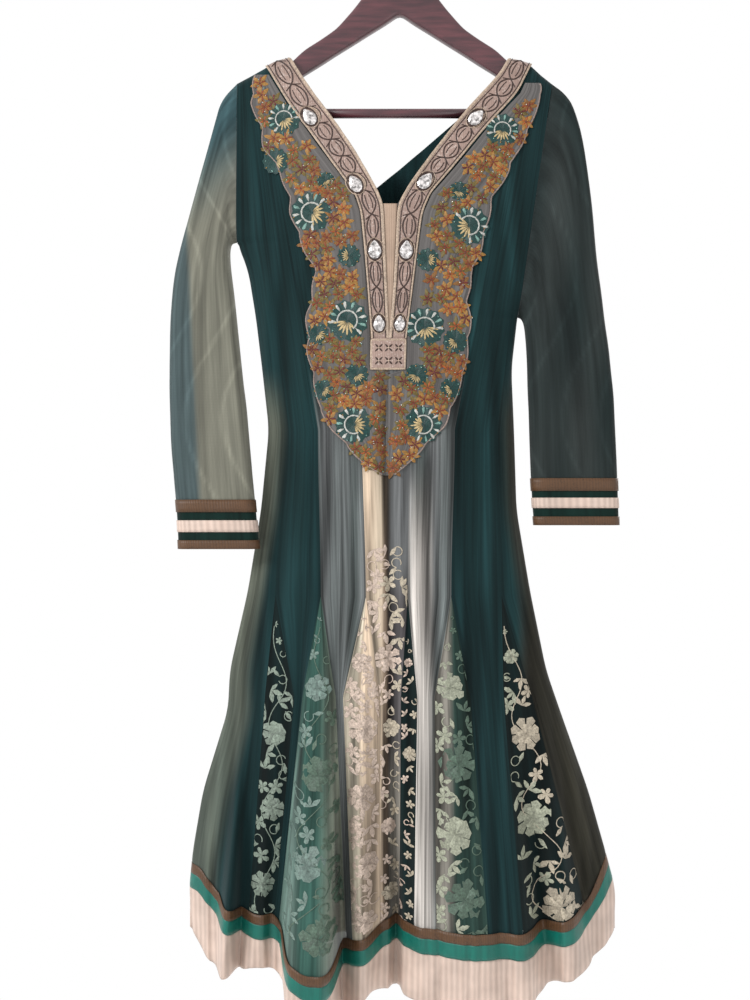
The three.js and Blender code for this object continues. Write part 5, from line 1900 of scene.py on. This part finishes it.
@dataclass
class Bib:
    """Embroidered net bib at both sides of the neck."""

    form: DressForm
    net: Material
    thread: Material
    sequin: Material
    lift: float = 1.4
    left: tuple = (
        BibRow(-196, -165, -181), BibRow(-232, -143, -185), BibRow(-262, -120.5, -172),
        BibRow(-290, -101, -168), BibRow(-322, -77, -146), BibRow(-348, -58.5, -138),
        BibRow(-372, -49.8, -134), BibRow(-420, -45.3, -117), BibRow(-447, -43, -102),
        BibRow(-500, -39, -113), BibRow(-540, -37.5, -114), BibRow(-571, -38, -107),
        BibRow(-572, -15.0, -107), BibRow(-618, -15.0, -98), BibRow(-645, -15.0, -80),
        BibRow(-667, -15.0, -62), BibRow(-688, -15.0, -38), BibRow(-700, -15.0, -22),
    )
    right: tuple = (
        BibRow(-206, 157, 175), BibRow(-219, 151, 176), BibRow(-262, 111, 160),
        BibRow(-292, 87, 145), BibRow(-318, 65.5, 133), BibRow(-348, 39.5, 115),
        BibRow(-372, 28.5, 108), BibRow(-420, 21.2, 97), BibRow(-452, 17.5, 84),
        BibRow(-486, 13.5, 82), BibRow(-522, 8.4, 84), BibRow(-571, 7.6, 76),
        BibRow(-572, -15.0, 76), BibRow(-608, -15.0, 64), BibRow(-640, -15.0, 50),
        BibRow(-668, -15.0, 24), BibRow(-688, -15.0, 2), BibRow(-700, -15.0, -8),
    )
    left_flowers: tuple = (
        Flower(-111, -372, 23, -20), Flower(-66, -508, 23, -110), Flower(-58, -637, 21, -5),
        Flower(-146, -253, 19, -60), Flower(-156, -306, 15, 0), Flower(-93, -332, 10, -60),
        Flower(-64, -427, 13, 180), Flower(-103, -524, 13, -40), Flower(-54, -575, 13, -60),
        Flower(-96, -594, 12, -30),
    )
    right_flowers: tuple = (
        Flower(86, -388, 22, -155), Flower(30, -516, 22, -70), Flower(28, -637, 21, -175),
        Flower(128, -267, 19, -100), Flower(73, -345, 11, -100), Flower(34, -432, 13, 0),
        Flower(68, -533, 14, -140), Flower(20, -576, 13, -120), Flower(62, -592, 12, -150),
    )
    boughs: tuple = (
        (-167, -222), (-172, -246), (-152, -284), (-133, -303), (-116, -310), (-127, -328), (-84, -346),
        (-79, -384), (-64, -392), (-120, -412), (-107, -431), (-84, -440), (-94, -466), (-78, -474),
        (-62, -466), (-101, -490), (-88, -548), (-72, -556), (-84, -574), (-70, -606), (-42, -602),
        (-30, -592), (-28, -622), (-34, -664), (-52, -666), (-22, -684), (-86, -616), (-26, -650),
    )

    def half(self, tag: str, rows: tuple, flowers: tuple, seed: int) -> Cloth:
        """Build one half of the bib.

        Args:
            tag: left or right.
            rows: Edges of the half.
            flowers: Its large flowers.
            seed: Seed of its scattered leaves.

        Returns:
            The net, its embroidery and its sequins.
        """
        inner, outer = profile(rows, "z", "inner"), profile(rows, "z", "outer", 3)
        top, low = rows[0].z, rows[-1].z
        sign = 1 if tag == "right" else -1

        def rim(z: Array) -> Array:
            """Give the scalloped outer edge."""
            scallop = 4 * np.abs(np.sin(z / 44 * np.pi)) + 1.2 * np.abs(np.sin(z / 19))
            return outer(z) + sign * scallop * roll(np.maximum(top - z, 0), 20) * roll(np.maximum(z - low, 0), 30)

        base = Pattern(f"bib_net_{tag}")

        def shape(u: Array, v: Array) -> Array:
            """Place the net between its edges."""
            z = mix(top, low, v)
            return np.stack([mix(inner(z), rim(z), u), np.full_like(u, self.lift), z], axis=1)

        base.cloth(26, 150, shape, Dye.NET.value)
        net = base.finish(lambda flat: self.form.lay(Side.FRONT, flat), self.net, 0.0005, Side.FRONT)
        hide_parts(f"bib_{tag}")

        work = Pattern(f"bib_embroidery_{tag}", lift=self.lift + 0.1)
        shine = Pattern(f"bib_sequins_{tag}", lift=self.lift + 1.0)
        rng = np.random.default_rng(seed)
        for flower in flowers:
            self.flower(work, shine, flower, rng)
        self.leaves(work, shine, flowers, inner, rim, tag, rng)
        heights = np.linspace(top - 1, low + 1, 260)
        work.cord(np.stack([rim(heights) - sign * 0.8, heights], axis=1), 1.7, Dye.BAND.value, 0.9)
        laid = lambda flat: self.form.lay(Side.FRONT, flat)
        threads = work.finish(laid, self.thread, 0, Side.FRONT)
        return base.cloth_of(net, threads, shine.finish(laid, self.sequin, 0, Side.FRONT))

    def flower(self, work: Pattern, shine: Pattern, flower: Flower, rng: np.random.Generator) -> None:
        """Embroider a teal flower with pale petals and a cream heart."""
        x, z, heart = flower.x, flower.z, flower.heart
        radius = 1.15 * flower.radius

        def spot(turn: float, reach: float) -> tuple[float, float]:
            """Give the place at a direction and a share of the radius."""
            a = math.radians(turn)
            return x + reach * radius * math.cos(a), z + reach * radius * math.sin(a)

        for k in range(12):
            work.petal((x, z), heart + 30 * k, radius, radius * 0.66, Dye.TEAL.value, 0.8, 0.42)
        if flower.radius > 16:
            for k in range(9):
                turn = heart + 66 + 28.5 * k
                dye = Dye.MINT if k % 3 == 1 else Dye.WHITE
                work.petal(spot(turn, 0.5), turn, radius * 0.42, radius * 0.26, dye.value, 1.6, 0.5)
            arc = heart + np.linspace(55, 305, 14)
            work.cord(np.array([spot(turn, 0.47) for turn in arc]), radius * 0.09, Dye.WHITE.value, 1.8)
        for k in range(7):
            turn = heart - 60 + 20 * k
            work.petal(spot(turn, 0.1), turn, radius * rng.uniform(0.42, 0.62), radius * 0.17, Dye.BUTTER.value, 1.8, 0.7)
        for k in range(10):
            dye = (Dye.GOLD, Dye.MINT)[k % 2].value
            shine.dome(spot(heart + 36 * k, rng.uniform(0.72, 0.9)), 0.9, dye, 0.9, 6)

    def leaves(
        self,
        work: Pattern,
        shine: Pattern,
        flowers: tuple,
        inner: Profile,
        rim: Lay,
        tag: str,
        rng: np.random.Generator,
    ) -> None:
        """Scatter sprays of gold, rust and orange leaves, with beads, along the boughs.

        Args:
            work: Pattern for the thread.
            shine: Pattern for the sequins.
            flowers: Flowers to keep clear of.
            inner: Inner edge of the bib.
            rim: Outer edge of the bib.
            tag: left or right; the right half mirrors the boughs.
            rng: Source of the scatter.
        """
        boughs = [
            bough if tag == "left" else (-19 - bough[0], bough[1] - 12 * min(1, max(0, (bough[1] + 400) / 170)))
            for bough in self.boughs
        ]
        sprays: list[tuple[float, float]] = []
        for _ in range(9000):
            near = boughs[rng.integers(len(boughs))]
            x, z = near[0] + rng.normal(0, 9), near[1] + rng.normal(0, 9)
            a, b = float(inner(np.array(z))), float(rim(np.array(z)))
            inset = 4 if z < -571 else 13
            if not (min(a, b) + 6 < x < max(a, b) - 6 and abs(x - a) > inset and -692 < z < -206):
                continue
            if any(math.hypot(x - f.x, z - f.z) < f.radius * 1.1 + 2 for f in flowers):
                continue
            if any(math.hypot(x - s[0], z - s[1]) < 13 for s in sprays):
                continue
            sprays.append((x, z))
        for x, z in sprays:
            shade = 1 - 0.65 * math.exp(-(((x + 17) / 9) ** 2)) * (z < -575)
            outer, heart = (
                tuple(shade * c for c in dyes[rng.integers(len(dyes))].value)
                for dyes in ((Dye.GOLD, Dye.OCHRE, Dye.MOSS, Dye.MOSS), (Dye.RUST, Dye.ORANGE, Dye.WINE, Dye.RUST))
            )
            start, count = rng.uniform(0, 360), int(rng.integers(5, 7))
            for k in range(count):
                turn = start + 360 * k / count + rng.uniform(-12, 12)
                work.petal((x, z), turn, rng.uniform(9, 14.5), 6.2, outer, 1.0, 0.9)
                work.petal((x, z), turn + 28, rng.uniform(5.5, 9.5), 3.4, heart, 1.4, 0.9)
            work.dome((x, z), 1.6, Dye.WINE.value, 1.7, 6)
            for _ in range(3):
                turn, away = rng.uniform(0, 2 * math.pi), rng.uniform(3, 9)
                dye = (Dye.GOLD, Dye.WHITE, Dye.ORANGE, Dye.MINT)[rng.integers(4)].value
                shine.dome((x + away * math.cos(turn), z + away * math.sin(turn)), 0.8, dye, 0.9, 6)

    def build(self) -> list[Cloth]:
        """Build both halves."""
        return [
            self.half("left", self.left, self.left_flowers, 4),
            self.half("right", self.right, self.right_flowers, 9),
        ]


# ---------------------------------------------------------------- godet embroidery


class Vine(NamedTuple):
    """Embroidery between two seam edges: where it starts, its roses and its threads."""

    node: str
    side: Side
    left: tuple[int, int]
    right: tuple[int, int]
    start: float
    roses: tuple
    left_dye: Dye
    right_dye: Dye
    room: float = 9.0


def godet_vine(
    side: Side,
    number: int,
    roses: tuple,
    left_dye: Dye = Dye.LEAF_CREAM,
    right_dye: Dye = Dye.CREAM,
    room: float = 9.0,
) -> Vine:
    """Give the vine of one godet, which runs between the two edges of its seam."""
    left, right = (number - 1, 0), (number - 1, 1)
    node = f"godet_{side.name.lower()}_{number}"
    return Vine(node, side, left, right, -862, roses, left_dye, right_dye, room)


@dataclass
class GodetVines:
    """Cream vines with roses, leaves and curled stems on the godets and the middle panel."""

    form: DressForm
    thread: Material
    lift: float = 0.35
    vines: tuple = (
        godet_vine(Side.FRONT, 1, (-1018, -1108, -1200), Dye.VEILED_LEAF, Dye.VEILED_LEAF),
        godet_vine(Side.FRONT, 2, (-960, -1060, -1160, -1240), Dye.AQUA, Dye.FADED_SAGE),
        godet_vine(Side.FRONT, 3, (-930, -1010, -1090, -1170, -1236), Dye.ROSE, Dye.ROSE, 6),
        Vine(
            "front_centre", Side.FRONT, (2, 1), (3, 0), -790,
            (-925, -1010, -1130, -1210), Dye.ROSE, Dye.CREAM, 7,
        ),
        godet_vine(Side.FRONT, 4, (-930, -1040), Dye.ROSE, Dye.CREAM, 6),
        godet_vine(Side.FRONT, 5, (-960, -1050, -1130, -1205), Dye.LEAF_CREAM, Dye.FADED_SAGE, 8),
        godet_vine(Side.FRONT, 6, (-925, -1020, -1122, -1222)),
        godet_vine(Side.BACK, 1, (-1010, -1110, -1200)),
        godet_vine(Side.BACK, 2, (-990, -1090, -1185)),
        godet_vine(Side.BACK, 3, (-1005, -1100, -1190)),
        godet_vine(Side.BACK, 4, (-990, -1085, -1180)),
    )

    def rose(self, work: Pattern, x: float, z: float, radius: float, dye: Colour, rng: np.random.Generator) -> None:
        """Embroider an open rose with three rounds of petals."""
        turn = rng.uniform(0, 60)
        for count, reach, width, rise, light in (
            (8, 1.0, 0.7, 0.5, 0.85), (6, 0.68, 0.56, 0.9, 1.0), (4, 0.4, 0.36, 1.3, 0.75),
        ):
            turn += 23
            for k in range(count):
                shade = light * rng.uniform(0.85, 1.15)
                petal = (dye[0] * shade, dye[1] * shade, dye[2] * shade, 1.0)
                length = radius * reach * rng.uniform(0.82, 1.1)
                work.petal((x, z), turn + 360 * k / count, length, radius * width, petal, rise, 0.4)

    def spray(self, work: Pattern, x: float, z: float, reach: float, dye: Colour, rng: np.random.Generator) -> None:
        """Embroider a small spray: leaves on a stem, a bud, or a curl with a leaf."""
        kind, turn = rng.integers(4), rng.uniform(0, 360)
        if kind == 3:
            arc = np.linspace(0, 5.2, 16)
            size = 0.42 * reach
            curl = np.stack([x + size * np.cos(arc + turn), z + size * np.sin(arc + turn)], axis=1)
            work.cord(curl, 1.1, dye, 0.6)
            work.petal(tuple(curl[-1]), turn, reach, reach * 0.42, dye, 0.7, 1.0)
            return
        for k in range(3 if kind else 5):
            spread = turn + (k - 1) * 62 if kind else turn + 72 * k
            size = reach * rng.uniform(0.85, 1.2) * (1.0 if kind else 0.7)
            work.petal((x, z), spread, size, size * (0.44 if kind else 0.7), dye, 0.7, 0.9 if kind else 0.6)

    def vine(self, row: Vine, seed: int) -> Piece:
        """Embroider the cloth between two seam edges.

        Args:
            row: The vine.
            seed: Seed of its scatter.

        Returns:
            The embroidery.
        """
        form, rng = self.form, np.random.default_rng(seed)
        left, right = form.seam(row.side, *row.left), form.seam(row.side, *row.right)
        work = Pattern(f"vine_{row.node}", lift=self.lift)
        taken: list[tuple[float, float, float]] = []
        for number, z in enumerate(row.roses):
            a, b = float(left(np.array(z))), float(right(np.array(z)))
            radius = min(23.0, 0.46 * (b - a))
            x = (a + b) / 2 + (0.22 if number % 2 else -0.22) * max(b - a - 1.6 * radius, 0)
            taken.append((x, z, radius))
            dye = row.left_dye if x < (a + b) / 2 else row.right_dye
            self.rose(work, x, z, radius, dye.value, rng)
        low = float(form.hem_z + form.ribbon_rise + 8)
        for _ in range(2500):
            z = rng.uniform(low, row.start)
            a, b = float(left(np.array(z))), float(right(np.array(z)))
            if b - a < 9:
                continue
            x = rng.uniform(a + 3, b - 3)
            if any(math.hypot(x - t[0], z - t[1]) < t[2] + row.room for t in taken):
                continue
            taken.append((x, z, row.room - 1))
            dye = row.left_dye if x < (a + b) / 2 else row.right_dye
            self.spray(work, x, z, min(13.5, 0.4 * (b - a)), dye.value, rng)
        if row.room > 8:
            heights = np.linspace(row.start - 25, low, 70)
            span = right(heights) - left(heights)
            stem = (right(heights) + left(heights)) / 2 + span * 0.3 * np.sin(heights / 17 + seed)
            work.cord(np.stack([stem, heights], axis=1), 1.1, row.right_dye.value, 0.6)
        laid = lambda flat: form.lay(row.side, self.inside(row, left, right, flat))
        return work.finish(laid, self.thread, 0, row.side)

    def inside(self, row: Vine, left: Lay, right: Lay, flat: Array) -> Array:
        """Keep the stitches within the godet and above its ribbons."""
        kept = flat.copy()
        hem = self.form.hem[row.side](kept[:, 0]) + self.form.ribbon_rise
        kept[:, 2] = np.maximum(kept[:, 2], hem + 1)
        kept[:, 0] = np.clip(kept[:, 0], left(kept[:, 2]) + 0.8, right(kept[:, 2]) - 0.8)
        return kept

    def build(self) -> dict[str, Piece]:
        """Embroider every vine, by the names of the nodes under them."""
        return {row.node: self.vine(row, seed) for seed, row in enumerate(self.vines, 1)}


# ---------------------------------------------------------------- studio


@dataclass
class Studio:
    """Pale floor, soft light and the camera."""

    floor: Material
    floor_z: float = -1.9
    floor_radius: float = 1.15
    eye: tuple = (-0.03175, -1.5, -0.7304)
    lens: float = 42.5

    def light(self, name: str, place: tuple, power: float, size: float, target: tuple) -> None:
        """Add one large soft lamp that faces a target."""
        lamp = bpy.data.lights.new(name, "AREA")
        lamp.energy, lamp.size = power, size
        holder = bpy.data.objects.new(name, lamp)
        holder.location = place
        aim = Vector(target) - Vector(place)
        holder.rotation_euler = aim.to_track_quat("-Z", "Y").to_euler()
        bpy.context.scene.collection.objects.link(holder)

    def build(self) -> None:
        """Set the floor, the lights, the sky and the camera."""
        bm = bmesh.new()
        bmesh.ops.create_circle(bm, cap_ends=True, segments=96, radius=self.floor_radius)
        bmesh.ops.translate(bm, verts=bm.verts[:], vec=(0, 0, self.floor_z))
        mesh = bpy.data.meshes.new("floor")
        bm.to_mesh(mesh)
        bm.free()
        mesh.materials.append(self.floor)
        floor = bpy.data.objects.new("floor", mesh)
        bpy.context.scene.collection.objects.link(floor)

        world = bpy.data.worlds.new("sky")
        world.use_nodes = True
        back = world.node_tree.nodes["Background"]
        back.inputs["Color"].default_value = (1, 1, 1, 1)
        back.inputs["Strength"].default_value = 1.0
        bpy.context.scene.world = world
        self.light("key", (-2.2, -1.7, 0.6), 80, 0.9, (0, 0, -0.7))
        self.light("fill", (1.8, -2.2, -0.4), 10, 1.8, (0, 0, -0.8))
        self.light("back_fill", (1.4, 2.2, 0.4), 60, 1.2, (0, 0, -0.7))

        camera = bpy.data.cameras.new("camera")
        camera.lens, camera.sensor_width = self.lens, 36
        camera.clip_start, camera.clip_end = 0.05, 50
        holder = bpy.data.objects.new("camera", camera)
        holder.location = self.eye
        holder.rotation_euler = (math.pi / 2, 0, 0)
        bpy.context.scene.collection.objects.link(holder)
        bpy.context.scene.camera = holder
        bpy.context.scene.view_settings.view_transform = "Standard"


# ---------------------------------------------------------------- putting it together


def main() -> None:
    logging.basicConfig(level=logging.INFO, format="%(message)s")
    net = NetFinish("dyed_net").make()
    sheer = NetFinish("sheer_net", streak=0.5, depth=0.56).make()
    slip = NetFinish("slip_cloth", holes=0.0009, streak=0.1).make()
    thread = ThreadFinish("embroidery_thread").make()
    scroll_cloth = WovenFinish(
        "band_cloth", tone(255, 240, 230), tone(176, 148, 136), 900, 360, 0.45, 0.1
    ).make()
    brocade = WovenFinish(
        "brocade", tone(40, 24, 16), tone(98, 66, 38), 700, 420, 0.5, 0.03
    ).make()
    satin = WovenFinish(
        "teal_satin", tone(0, 96, 86), tone(0, 132, 114), 1400, 0, 0.4, 0.02
    ).make()
    silk = WovenFinish(
        "pleated_silk", tone(226, 198, 182), tone(236, 214, 200), 300, 0, 0.6, 0.05, 0.0004
    ).make()
    insert = WovenFinish(
        "beige_silk", tone(184, 156, 134), tone(198, 170, 148), 900, 0, 0.5, 0.05
    ).make()
    wood = WoodFinish("varnished_wood", tone(42, 24, 30), tone(92, 48, 54)).make()
    steel = GlossFinish("polished_wire", (0.72, 0.73, 0.74, 1)).make()
    crystal = GlossFinish("cut_crystal", (0.56, 0.53, 0.52, 1), 0.5, 0.1, 0.2, 0.7).make()
    sequin = ThreadFinish("sequins", 0.22, 0.35).make()

    Studio(FloorFinish("pale_floor").make()).build()
    Hanger(wood, steel).build()
    form = DressForm()
    body = Body(form, net, sheer, slip, brocade, satin, silk).build()
    sleeves = Sleeves(net, brocade, silk).build()
    for node, vine in GodetVines(form, thread).build().items():
        body[node] = body[node]._replace(trims=(vine,))
    bands = NeckBands(form, scroll_cloth, thread, insert, crystal).build()
    bib = Bib(form, net, thread, sequin).build()
    for cloth in (*body.values(), *sleeves.values(), *bands, *bib):
        declare_sheet(cloth)


if __name__ == "__main__":
    main()
